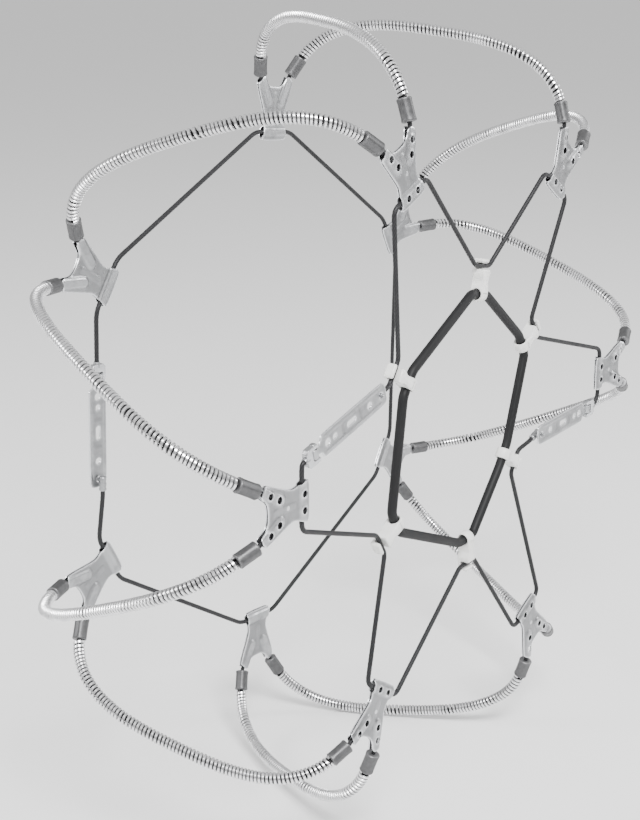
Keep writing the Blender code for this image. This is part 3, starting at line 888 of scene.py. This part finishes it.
def core_shell(line, near, far):
    """A cross-member's cable from arm to arm, with a ferrule crimped on at each end."""
    cables, route = bpy.context.scene.chain_cable, bpy.context.scene.chain_route
    shell = Shell()
    path = resample(np.concatenate((near[None], line, far[None])), ROPE_SPACING)
    twisted_rope(shell, path, cables.cross_radius, tread_lean, around=18)
    profile = ferrule_profile(route.ferrule_length, route.ferrule_radius,
                              cables.cross_radius * FERRULE_GRIP)
    for end in (line, line[::-1]):
        start, stop = points_at(end, route.ferrule_start + np.array((0.0, route.ferrule_length)))
        turned(shell, profile, start, stop - start, slot=1, crimps=crimp_flats,
               edge=ferrule_edges)
    return shell


# ------------------------------------------------------------------ plates

# A plate in its own frame, x along its head and y outwards from the axle; its hull is mirrored.
PLATE_HALF_OUTLINE = ((0.0175, -0.0345), (0.0195, -0.0320), (0.0190, -0.0270), (0.0145, -0.0140),
                      (0.0160, -0.0060), (0.0280, 0.0230), (0.0275, 0.0270), (0.0210, 0.0335),
                      (0.0170, 0.0320), (0.0130, 0.0250), (0.0070, 0.0220))
HEAD_DROP = 0.0255
PLATE_HOLES = ((0.0115, 0.0095), (0.0180, 0.0215), (0.0077, -HEAD_DROP))
ARM_RIDGE = 0.0036
HEAD_RIDGE = 0.0034
HEAD_HALF = 0.0200
BRACE_RIDGE = 0.0022
BRACE_ENDS = (-0.012, 0.013)
BRACE_RISE = 0.0005
RIM_DISTANCE = 0.0005
RIM_SPREAD = 0.0009
RIVET_SPOT = -0.004
RIVET_RADIUS = 0.0032
RIVET_DOME = 0.0006
RIVET_WEAR_AND_HIGHLIGHT = 0.0005


def plate_outline():
    right = np.array(PLATE_HALF_OUTLINE)
    return smooth_outline(np.concatenate((right, right[::-1] * (-1.0, 1.0))))


def plate_level(points):
    """Height of a layer: a valley with ridges over both arm cables and the head's cable.

    A low brace runs from head to arms between them.
    """
    sizes = bpy.context.scene.chain_plate
    ridges = [ridge(points, (side * ARM_ANCHOR[0], ARM_ANCHOR[1]),
                    (side * ARM_EXIT[0], ARM_EXIT[1]), ARM_RIDGE) for side in (1, -1)]
    ridges.append(ridge(points, (-HEAD_HALF, -HEAD_DROP), (HEAD_HALF, -HEAD_DROP), HEAD_RIDGE))
    raised = np.max(ridges, axis=0)
    brace = ridge(points, (0.0, BRACE_ENDS[0]), (0.0, BRACE_ENDS[1]), BRACE_RIDGE)
    return (sizes.valley + (sizes.crest - sizes.valley) * raised
            + BRACE_RISE * brace * (1.0 - raised))


def plate_layer(pierced, mirrored=False):
    """One layer of a plate in its own frame; a punched layer has raised rims round its holes."""
    sizes = bpy.context.scene.chain_plate
    holes = []
    if pierced:
        holes = [hole_loop((side * x, y), sizes.hole) for side in (1, -1) for x, y in PLATE_HOLES]
    points, faces, marks = stamped_sheet(plate_outline(), holes, plate_level,
                                         sheet_thickness(sizes.sheet))
    if mirrored:
        points = points * (1.0, 1.0, -1.0)
    for hole in holes:
        away = np.linalg.norm(points[:, :2] - hole.mean(0), axis=1) - sizes.hole
        raised = np.exp(-((away - RIM_DISTANCE) / RIM_SPREAD) ** 2)
        points[:, 2] += sizes.rim * raised
        marks["crest"] = np.maximum(marks["crest"], raised)
    return points, faces, marks


def rivet_head(shell, place):
    """A flush rivet: a low dome over a straight shank between the two layers."""
    sizes = bpy.context.scene.chain_plate
    top = sizes.valley + sizes.sheet
    shoulder = top - RIVET_DOME
    stations = [(-shoulder, 0.0002), (-shoulder, RIVET_RADIUS), (shoulder, RIVET_RADIUS)]
    stations += [(shoulder + RIVET_DOME * math.sin(a), RIVET_RADIUS * math.cos(a) + 0.00005)
                 for a in np.linspace(0.2, math.pi / 2, 7)]
    # The dome's top gets the edge mark: rubbed wear and a painted highlight.
    turned(shell, stations, spot_on(place, y=RIVET_SPOT), place[0][2], around=24,
           edge=lambda along: (along > top - RIVET_WEAR_AND_HIGHLIGHT) * 0.5)


# ------------------------------------------------------------------ side cables and strips

# Corners of the side cables: how far they lie from a hook's or a plate's centre, and how far
# their rounding reaches.
STATION_CORNER = 0.0135
CORNER_REACH = 0.0045
HEAD_CORNER = 0.0285
HEAD_REACH = 0.0085
CLEARANCE = 0.0003

# The fitting swaged on a cable's free end and the peg that stands on it.
FITTING_DROP = 0.0062
FITTING_RADIUS = 0.0038
FITTING_REACH = 0.011
FITTING_TAIL = 0.0042
SWAGE_START = 0.0005
SWAGE_END = 0.0098
SWAGE_DEPTH = 0.00035
SWAGES_PER_METRE = 1150.0
PEG_TOP = 0.0045
PEG_ROUNDING = 0.0009

# A fork in its hinge's frame, x towards the strip's tip and y along the pin.
FORK_HALF = 0.0092
FORK_BACK = 0.013
FORK_THROAT = 0.005
FORK_FRONT = 0.0045
FORK_NECK_HALF = 0.0062
FORK_HALF_THICKNESS = 0.0032
FORK_CHAMFER = 0.0014
FORK_EASE = 0.0007
SIDE_PLAY = 0.0006
PIN_HEAD = 0.0009
SOCKET_LENGTH = 0.0022
SOCKET_DEPTH = 0.0016

# A strip in the same frame; shoulder and tip are (distance, inset from the widest place), and a
# hole is (distance, radius, stretch to a slot).
BARREL_HALF = 0.0047
BARREL_TURN = (-12.0, 318.0)
NECK_END = 0.0032
NECK_ROUNDING = 0.0042
STRIP_NECK = (0.0030, 0.0095)
STRIP_SHOULDER = ((0.0125, 0.0006), (0.0160, 0.0))
STRIP_TIP = ((0.0080, 0.0), (0.0018, 0.0012), (0.0, 0.0055))
STRIP_HOLES = ((0.020, 0.0034, 0.0), (0.031, 0.0026, 0.0), (0.057, 0.0026, 0.0042),
               (0.086, 0.0030, 0.0))
PEG_HOLE = 0.0029
BEAD_SIDE = 0.0078
BEAD_ENDS = (0.018, 0.010)
BEAD_RIDGE = 0.0008
BEAD_RISE = 0.0005
DIMPLES = (0.0435, 0.0715)
DIMPLE_HALF = 0.0030
DIMPLE_RIDGE = 0.0014
DIMPLE_DEPTH = 0.0004


def head_corners(angle, side):
    plate = bpy.context.scene.chain_plate
    radius = plate.radius - HEAD_DROP
    return [(on_wheel(angle, radius, side * plate.offset, s * HEAD_CORNER), HEAD_REACH)
            for s in (-1, 1)]


def hook_corners(angle, radius):
    y = -bpy.context.scene.chain_cable.hook_offset
    return [(on_wheel(angle, radius, y, s * STATION_CORNER), CORNER_REACH) for s in (-1, 1)]


def strip_places():
    """Hinge frames of the outer latch strips and the inner link strip, by name."""
    y = -bpy.context.scene.chain_plate.offset
    places = []
    for hinge, aim in zip(LATCH_HINGES, LATCH_AIMS):
        origin = on_wheel(*hinge, y)
        places.append(placing(origin, on_wheel(*aim, y) - origin, (0.0, -1.0, 0.0)))
    left = head_corners(INNER_ANGLES[-2], INNER)[1][0]
    right = head_corners(INNER_ANGLES[-1], INNER)[0][0]
    heading = unit(left - right)
    peg = bpy.context.scene.chain_strip.peg_distance
    places.append(placing((left + right) / 2.0 - heading * peg / 2.0, heading, (0.0, 1.0, 0.0)))
    return dict(zip(("latch_strip_1", "latch_strip_2", "inner_link_strip"), places))


def side_corners(which):
    """Corners of a side cable from its peg end to its fork end."""
    corners = []
    if which == "inner":
        for angle in INNER_ANGLES[-2::-1] + INNER_ANGLES[-1:]:
            corners += reversed(head_corners(angle, INNER))
        return corners
    first = 0 if which == "a" else 3
    for station, angle in zip(HOOK_STATIONS[first:first + 3], PLATE_ANGLES[first:first + 3]):
        corners += hook_corners(*station) + head_corners(angle, OUTER)
    return corners


def swaged_fitting():
    """Stations of the barrel swaged on a cable's end: a fine rippled skin between eased ends."""
    r, tail, reach = FITTING_RADIUS, FITTING_TAIL, FITTING_REACH
    skin = [(x, r - SWAGE_DEPTH * (math.sin(x * SWAGES_PER_METRE) > 0))
            for x in np.linspace(SWAGE_START, SWAGE_END, 40)]
    return ([(-tail, 0.0003), (-tail, r - 0.0009), (0.0006 - tail, r - 0.0002), (0.0010 - tail, r)]
            + skin + [(reach - 0.0006, r - 0.0004), (reach - 0.0002, r - 0.0012),
                      (reach, 0.0021), (reach - 0.0004, 0.0018)])


def side_cable_shell(which, peg_place, fork_place):
    """A side cable with the swaged fitting and upright peg on its free end."""
    sizes, strip = bpy.context.scene.chain_cable, bpy.context.scene.chain_strip
    corners = side_corners(which)
    normal = peg_place[0][2]
    level = spot_on(peg_place, strip.peg_distance) - normal * FITTING_DROP
    heading = corners[0][0] - level
    heading = unit(heading - normal * (heading @ normal))
    bend = level + heading * (FITTING_REACH + CORNER_REACH + CLEARANCE)
    entry = spot_on(fork_place, -FORK_BACK - CORNER_REACH - CLEARANCE)
    end = spot_on(fork_place, -FORK_THROAT - SOCKET_DEPTH)
    route = [(level, 0.0), (bend, CORNER_REACH)] + corners + [(entry, CORNER_REACH), (end, 0.0)]
    shell = Shell()
    twisted_rope(shell, resample(rounded(route), ROPE_SPACING), sizes.side_radius, axle_lean)
    turned(shell, swaged_fitting(), level, heading, slot=1)
    top, radius = FITTING_DROP + PEG_TOP, strip.peg_radius
    shoulder, core = top - PEG_ROUNDING, radius - PEG_ROUNDING
    peg = [(0.0, 0.0003), (0.0, radius), (shoulder, radius)]
    peg += [(shoulder + PEG_ROUNDING * math.sin(a), core + PEG_ROUNDING * math.cos(a))
            for a in np.linspace(0.2, math.pi / 2, 6)]
    turned(shell, peg + [(top, 0.0002)], level, normal, around=20, slot=1)
    return shell


def strip_level(points):
    """Height of a strip: two beads along its long edges and two dimples across its middle."""
    end = bpy.context.scene.chain_strip.strip_length - BEAD_ENDS[1]
    beads = sum(ridge(points, (BEAD_ENDS[0], side * BEAD_SIDE), (end, side * BEAD_SIDE), BEAD_RIDGE)
                for side in (1, -1))
    dimples = sum(ridge(points, (x, -DIMPLE_HALF), (x, DIMPLE_HALF), DIMPLE_RIDGE)
                  for x in DIMPLES)
    return BEAD_RISE * beads - DIMPLE_DEPTH * dimples


def strip_outline():
    """A narrow neck cut straight at the barrel, a wider blade and a tip with cut corners."""
    sizes = bpy.context.scene.chain_strip
    tip, wide, neck = sizes.strip_length, sizes.half_width, BARREL_HALF - CLEARANCE
    half = [(x, neck) for x in STRIP_NECK]
    half += [(x, wide - inset) for x, inset in STRIP_SHOULDER]
    half += [(tip - x, wide - inset) for x, inset in STRIP_TIP]
    outline = smooth_outline([(x, -y) for x, y in half] + half[::-1])
    outline[outline[:, 0] < NECK_ROUNDING, 0] = NECK_END
    return outline


def strip_shell(place):
    """A latch strip: a pierced sheet whose outer end is rolled into a barrel for its pin."""
    sizes = bpy.context.scene.chain_strip
    holes = [hole_loop((x, 0.0), r, stretch=stretch) for x, r, stretch in STRIP_HOLES]
    holes.append(hole_loop((sizes.peg_distance, 0.0), PEG_HOLE))
    points, faces, marks = stamped_sheet(strip_outline(), holes, strip_level,
                                         sheet_thickness(sizes.sheet))
    shell = Shell()
    shell.add(placed(points, place), faces, **marks)
    turn = np.radians(np.linspace(*BARREL_TURN, 40))
    section = np.concatenate((polar(sizes.barrel, turn), polar(sizes.pin + CLEARANCE, turn[::-1])))
    y = np.concatenate(((-1.0,), np.linspace(-0.97, 0.97, 7), (1.0,))) * BARREL_HALF
    ease = np.where(np.abs(y) > BARREL_HALF * 0.98, 0.96, 1.0)
    rows = section * ease[:, None, None]
    across = np.broadcast_to(y[:, None], rows.shape[:2])
    shell.grid(np.stack((rows[..., 0], across, rows[..., 1]), -1), place=place, edge=0.15,
               crest=0.8)
    return shell


def prism(shell, outline, half, place, ease):
    """A block of an outline, its rims eased in steps: sections shrink towards both faces."""
    ahead = np.roll(outline, -1, 0) - np.roll(outline, 1, 0)
    inward = np.stack((-ahead[:, 1], ahead[:, 0]), 1)
    inward /= np.maximum(np.linalg.norm(inward, axis=1, keepdims=True), 1e-9)
    angle = np.linspace(0.0, math.pi / 2, 5)
    shrink = ease * (1.0 - np.sin(angle))
    level = -half + ease * (1.0 - np.cos(angle))
    level = np.concatenate((level, -level[::-1]))
    shrink = np.concatenate((shrink, shrink[::-1]))
    flat = outline[None] + inward[None] * shrink[:, None, None]
    height = np.broadcast_to(level[:, None, None], flat.shape[:2] + (1,))
    # The edge mark at the eased rims brightens the fork: rubbed wear and painted highlight.
    wear_and_highlight = np.exp(-(half - np.abs(level)) / ease)[:, None]
    shell.grid(np.concatenate((flat, height), -1), place=place, edge=wear_and_highlight * 0.6, crest=0.7)


def fork_outline():
    """Plan of a fork: a tapered neck, two ears and the throat between them."""
    inner, outer = BARREL_HALF + SIDE_PLAY, FORK_HALF
    half = [(-FORK_BACK, FORK_NECK_HALF), (0.0030 - FORK_BACK, outer),
            (FORK_FRONT - 0.0015, outer), (FORK_FRONT, outer - FORK_CHAMFER),
            (FORK_FRONT, inner), (-FORK_THROAT, inner)]
    return resample(np.array([(x, -y) for x, y in half] + half[::-1]), 0.0008, True)


def fork_shell(place):
    """A forged fork: two ears and a socket neck, with a domed pin through the ears."""
    sizes = bpy.context.scene.chain_strip
    axes, origin = place
    shell = Shell()
    prism(shell, fork_outline(), FORK_HALF_THICKNESS, place, FORK_EASE)
    span, head = FORK_HALF + 0.0008, sizes.pin + PIN_HEAD
    half = [(span, 0.0003), (span, head - 0.0005), (span - 0.0004, head),
            (span - PIN_HEAD, head), (span - PIN_HEAD, sizes.pin)]
    turned(shell, [(-x, r) for x, r in half] + half[::-1], origin, axes[1], around=24)
    neck = [(0.0, 0.0021), (0.0, 0.0030), (0.0006, 0.0033), (0.0055, 0.0033)]
    turned(shell, neck, origin - axes[0] * (FORK_BACK + SOCKET_LENGTH), axes[0], around=24)
    return shell


# ------------------------------------------------------------------ ring and hooks

# A hook in its own frame, x from the ring to the cable; its waist is (x, half width).
DRUM_RADIUS = 0.0079
TUNNEL_RADIUS = 0.0052
HOOK_WAIST = ((-0.0080, 0.0056), (0.0030, 0.0060), (0.0135, 0.0046), (0.0215, 0.0070),
              (0.0380, 0.0072))
HOOK_EASE = 0.0016
HOOK_SPACING = 0.0007
HOOK_WALL = 0.0032
HOOK_LIP = 0.0030
SEAM_SPREAD = 0.09
SEAM_RISE = 0.035
RING_SPACING = 0.0015


def hook_place(angle, radius):
    sizes = bpy.context.scene.chain_cable
    origin = on_wheel(angle, radius - sizes.hook_reach, -sizes.hook_offset)
    return placing(origin, radial(angle), np.cross(radial(angle), (0.0, -1.0, 0.0)))


def hook_outline():
    """Side view of a hook, x from the ring to the cable and y outwards, round at every corner.

    Arcs are (centre, radius, first angle, last angle, number of points).
    """
    reach = bpy.context.scene.chain_cable.hook_reach
    wall, lip = reach - HOOK_WALL, reach + HOOK_LIP
    arcs = (((0.0, 0.0), DRUM_RADIUS, 90.0, 270.0, 25),
            ((lip + 0.0018, -0.0044), 0.0024, 270.0, 360.0, 7),
            ((lip + 0.0021, 0.0025), 0.0021, 0.0, 180.0, 11),
            ((lip - 0.0008, -0.0020), 0.0008, 0.0, -90.0, 4),
            ((wall + 0.0008, -0.0020), 0.0008, -90.0, -180.0, 4),
            ((wall - 0.0018, 0.0056), 0.0018, 0.0, 90.0, 6))
    points = [polar(radius, np.radians(np.linspace(start, end, count))) + centre
              for centre, radius, start, end, count in arcs]
    return resample(np.concatenate(points), HOOK_SPACING, True)


def hook_half_width(points, rim):
    """Half width of a hook, less its rounded edge: w(x) - e (1 - sqrt(1 - (1 - d/e)^2)).

    w goes smoothly between the widths of drum, waist and cable seat, d is the distance from the
    rim and e the ease.
    """
    x, half = np.array(HOOK_WAIST).T
    place = np.clip(np.searchsorted(x, points[:, 0]) - 1, 0, len(x) - 2)
    f = np.clip((points[:, 0] - x[place]) / (x[place + 1] - x[place]), 0.0, 1.0)
    f = f * f * (3.0 - 2.0 * f)
    width = half[place] * (1.0 - f) + half[place + 1] * f
    ease = 1.0 - np.clip(rim / HOOK_EASE, 0.0, 1.0)
    return width - HOOK_EASE * (1.0 - np.sqrt(1.0 - ease ** 2))


def hook_shell(place):
    """A moulded hook: a round drum on the ring, a narrow waist and a wider seat for the cable."""
    tunnel = hole_loop((0.0, 0.0), TUNNEL_RADIUS, 32)
    points, faces, marks = stamped_sheet(hook_outline(), [tunnel], lambda flat: 0.0 * flat[:, 0],
                                         hook_half_width, HOOK_SPACING)
    shell = Shell()
    shell.add(placed(points, place), faces, **marks)
    return shell


def ring_path():
    """Closed line of the rubber ring: straight in every hook's tunnel and between the hooks."""
    reach = bpy.context.scene.chain_cable.hook_reach
    corners = []
    for angle, radius in HOOK_STATIONS:
        corners += hook_corners(angle, radius - reach)
    line = rounded([corners[-1]] + corners + [corners[0]])[1:-1]
    return resample(line, RING_SPACING, True)


def ring_shell():
    """The rubber cord: round, with a low moulded seam along its two sides."""
    radius = bpy.context.scene.chain_cable.ring_radius
    path, angle = ring_path(), circle(32)
    away = np.minimum(angle, 2 * math.pi - angle)
    seam = np.exp(-(away / SEAM_SPREAD) ** 2) + np.exp(-((angle - math.pi) / SEAM_SPREAD) ** 2)
    section = polar(radius * (1.0 - SEAM_RISE + SEAM_RISE * seam), angle)[None]
    shell = Shell()
    shell.grid(swept(path, section, axle_lean, True), closed=True, edge=seam)
    return shell


# ------------------------------------------------------------------ operators

class ChainOperator:
    """Shared settings of the operators that build the chain."""
    bl_options = {"REGISTER", "UNDO"}


class CHAIN_OT_coils(ChainOperator, bpy.types.Operator):
    """Wind the twelve traction coils"""
    bl_idname = "chain.coils"
    bl_label = "Traction coils"

    def execute(self, context):
        for number, (outer, inner) in enumerate(cross_pairs(), start=1):
            line, _, _ = cross_path(outer, inner)
            coil = coil_shell(line, number).object(f"wound_coil_{number}", ["coil"], CHAIN_BODY)
            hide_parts(f"traction_coil_{number}")
        return {"FINISHED"}


class CHAIN_OT_cross_cables(ChainOperator, bpy.types.Operator):
    """Lay the twelve cross-members' cables and crimp their ferrules"""
    bl_idname = "chain.cross_cables"
    bl_label = "Cross cables and ferrules"

    def execute(self, context):
        for number, (outer, inner) in enumerate(cross_pairs(), start=1):
            shell = core_shell(*cross_path(outer, inner))
            core = shell.object(f"ferruled_cable_{number}", ["rope", "ferrule"], CHAIN_BODY)
            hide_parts(f"cross_cable_{number}")
        return {"FINISHED"}


class CHAIN_OT_plates(ChainOperator, bpy.types.Operator):
    """Stamp the hourglass plates of both sides"""
    bl_idname = "chain.plates"
    bl_label = "Hourglass plates"

    def execute(self, context):
        front, plain = plate_layer(True), plate_layer(False)
        back = plate_layer(False, mirrored=True)
        for number, angle in enumerate(PLATE_ANGLES, start=1):
            place = plate_place(angle, OUTER)
            for label, (points, faces, marks) in (("front", front), ("back", back)):
                shell = Shell()
                shell.add(placed(points, place), faces, **marks)
                if label == "back":
                    rivet_head(shell, place)
                piece = shell.object(f"stamped_plate_{label}_{number}", ["zinc"], CHAIN_BODY)
                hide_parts(f"outer_plate_{label}_{number}")
        for number, angle in enumerate(INNER_ANGLES, start=1):
            place = plate_place(angle, INNER)
            shell = Shell()
            for points, faces, marks in (plain, back):
                shell.add(placed(points, place), faces, **marks)
            rivet_head(shell, place)
            piece = shell.object(f"stamped_plate_inner_{number}", ["zinc"], CHAIN_BODY)
            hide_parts(f"inner_plate_{number}")
        return {"FINISHED"}


class CHAIN_OT_side_cables(ChainOperator, bpy.types.Operator):
    """Lay the outer and inner side cables with their swaged pegs"""
    bl_idname = "chain.side_cables"
    bl_label = "Side cables"

    def execute(self, context):
        places = strip_places()
        ends = {"a": ("outer_side_cable_a", "latch_strip_2", "latch_strip_1"),
                "b": ("outer_side_cable_b", "latch_strip_1", "latch_strip_2"),
                "inner": ("inner_side_cable", "inner_link_strip", "inner_link_strip")}
        for which, (node, peg, fork) in ends.items():
            shell = side_cable_shell(which, places[peg], places[fork])
            rope = shell.object(f"laid_{node}", ["rope", "zinc"], CHAIN_BODY)
            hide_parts(node)
        return {"FINISHED"}


class CHAIN_OT_strips(ChainOperator, bpy.types.Operator):
    """Press the latch strips and forge the forks that hold them"""
    bl_idname = "chain.strips"
    bl_label = "Latch strips and forks"

    def execute(self, context):
        forks = ("strip_fork_1", "strip_fork_2", "inner_link_fork")
        for (node, place), fork in zip(strip_places().items(), forks):
            strip = strip_shell(place).object(f"pressed_{node}", ["zinc"], node)
            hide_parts(node)
            forged = fork_shell(place).object(f"forged_{fork}", ["zinc"], CHAIN_BODY)
            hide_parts(fork)
        return {"FINISHED"}


class CHAIN_OT_ring(ChainOperator, bpy.types.Operator):
    """Stretch the rubber tension ring through its hooks"""
    bl_idname = "chain.ring"
    bl_label = "Rubber tension ring"

    def execute(self, context):
        ring = ring_shell().object("rubber_ring", ["rubber"], CHAIN_BODY)
        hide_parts("tension_ring")
        return {"FINISHED"}


class CHAIN_OT_hooks(ChainOperator, bpy.types.Operator):
    """Mould the six tension hooks"""
    bl_idname = "chain.hooks"
    bl_label = "Tension hooks"

    def execute(self, context):
        for number, station in enumerate(HOOK_STATIONS, start=1):
            node = f"tension_hook_{number}"
            hook = hook_shell(hook_place(*station)).object(f"moulded_{node}", ["nylon"], node)
            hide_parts(node)
        return {"FINISHED"}


# Lamps are (name, place, size, power), and the surround's ramp is (height, shade).
FLOOR_HALF = 40.0
FLOOR_DROP = 0.001
CAMERA_TURN = (-53.95, 16.99)
CAMERA_DISTANCE = 1.648
CAMERA_SHIFT = (-0.0502, -0.0064)
LENS_MM = 67.6
SENSOR_MM = 36.0
WORLD_RAMP = ((0.0, 0.66), (0.16, 0.42), (0.70, 1.0))
LAMPS = (
    ("key_softbox", (-1.6, -2.0, 2.9), (1.8, 1.2), 300.0),
    ("side_softbox", (2.6, -2.0, 1.2), (0.8, 1.8), 60.0),
    ("back_softbox", (-2.4, 2.2, 1.6), (1.4, 1.0), 60.0),
)


def make_floor():
    """One wide sheet just under the chain."""
    level = CAD_BOUNDS[0][2] - FLOOR_DROP
    corners = ((-1, -1), (1, -1), (1, 1), (-1, 1))
    mesh = bpy.data.meshes.new("studio_floor_sheet")
    mesh.from_pydata([(x * FLOOR_HALF, y * FLOOR_HALF, level) for x, y in corners], [],
                     [(0, 1, 2, 3)])
    mesh.materials.append(finish("floor"))
    linked("studio_floor_sheet", mesh)


def make_lamps():
    """Soft rectangular lamps, each aimed at the wheel's centre."""
    for name, place, size, power in LAMPS:
        data = bpy.data.lights.new(name, "AREA")
        data.shape = "RECTANGLE"
        data.size, data.size_y = size
        data.energy = power
        lamp = linked(name, data)
        lamp.location = place
        lamp.rotation_euler = (-Vector(place)).to_track_quat("-Z", "Y").to_euler()


def make_world():
    """A pale surround: as light as the floor at the horizon, darker above it, lightest overhead."""
    world = bpy.data.worlds.new("studio_world")
    world.use_nodes = True
    sky = Shading(world.node_tree, "Background")
    towards = sky.node("ShaderNodeTexCoord", output="Generated")
    height = sky.node("ShaderNodeSeparateXYZ", (towards,), output="Z")
    sky.set("Color", sky.node("ShaderNodeValToRGB", (height,), stops=WORLD_RAMP))
    bpy.context.scene.world = world


def make_camera():
    """A camera on a sphere round the wheel's centre, turned about +Z and lifted, facing it."""
    data = bpy.data.cameras.new("camera")
    data.sensor_width = SENSOR_MM
    data.lens = LENS_MM
    data.shift_x, data.shift_y = CAMERA_SHIFT
    turn, lift = (math.radians(angle) for angle in CAMERA_TURN)
    back = Vector((math.sin(turn) * math.cos(lift), -math.cos(turn) * math.cos(lift),
                   math.sin(lift)))
    right = Vector((math.cos(turn), math.sin(turn), 0.0))
    axes = Matrix((right, back.cross(right), back)).transposed().to_4x4()
    camera = linked("camera", data)
    camera.matrix_world = Matrix.Translation(back * CAMERA_DISTANCE) @ axes
    bpy.context.scene.camera = camera


class CHAIN_OT_stage(ChainOperator, bpy.types.Operator):
    """Set the floor, the soft studio light and the camera"""
    bl_idname = "chain.stage"
    bl_label = "Studio stage"

    def execute(self, context):
        make_floor()
        make_lamps()
        make_world()
        make_camera()
        return {"FINISHED"}


class CHAIN_PT_panel(bpy.types.Panel):
    """Lists the building steps in the sidebar"""
    bl_idname = "CHAIN_PT_panel"
    bl_label = "Tyre chain"
    bl_space_type = "VIEW_3D"
    bl_region_type = "UI"
    bl_category = "Tyre chain"

    def draw(self, context):
        for operator in OPERATORS:
            self.layout.operator(operator.bl_idname)
        for group in SETTINGS:
            box = self.layout.box()
            for key in getattr(context.scene, group).__annotations__:
                box.prop(getattr(context.scene, group), key)


OPERATORS = (CHAIN_OT_stage, CHAIN_OT_coils, CHAIN_OT_cross_cables, CHAIN_OT_plates,
             CHAIN_OT_side_cables, CHAIN_OT_strips, CHAIN_OT_ring, CHAIN_OT_hooks)


def register():
    for group in SETTINGS.values():
        bpy.utils.register_class(group)
    for key, group in SETTINGS.items():
        setattr(bpy.types.Scene, key, PointerProperty(type=group))
    for item in OPERATORS + (CHAIN_PT_panel,):
        bpy.utils.register_class(item)


def unregister():
    for item in reversed(OPERATORS + (CHAIN_PT_panel,)):
        bpy.utils.unregister_class(item)
    for key in SETTINGS:
        delattr(bpy.types.Scene, key)
    for group in reversed(list(SETTINGS.values())):
        bpy.utils.unregister_class(group)


def main():
    register()
    for operator in OPERATORS:
        group, name = operator.bl_idname.split(".")
        getattr(getattr(bpy.ops, group), name)()
    bpy.context.view_layer.update()


if __name__ == "__main__":
    main()
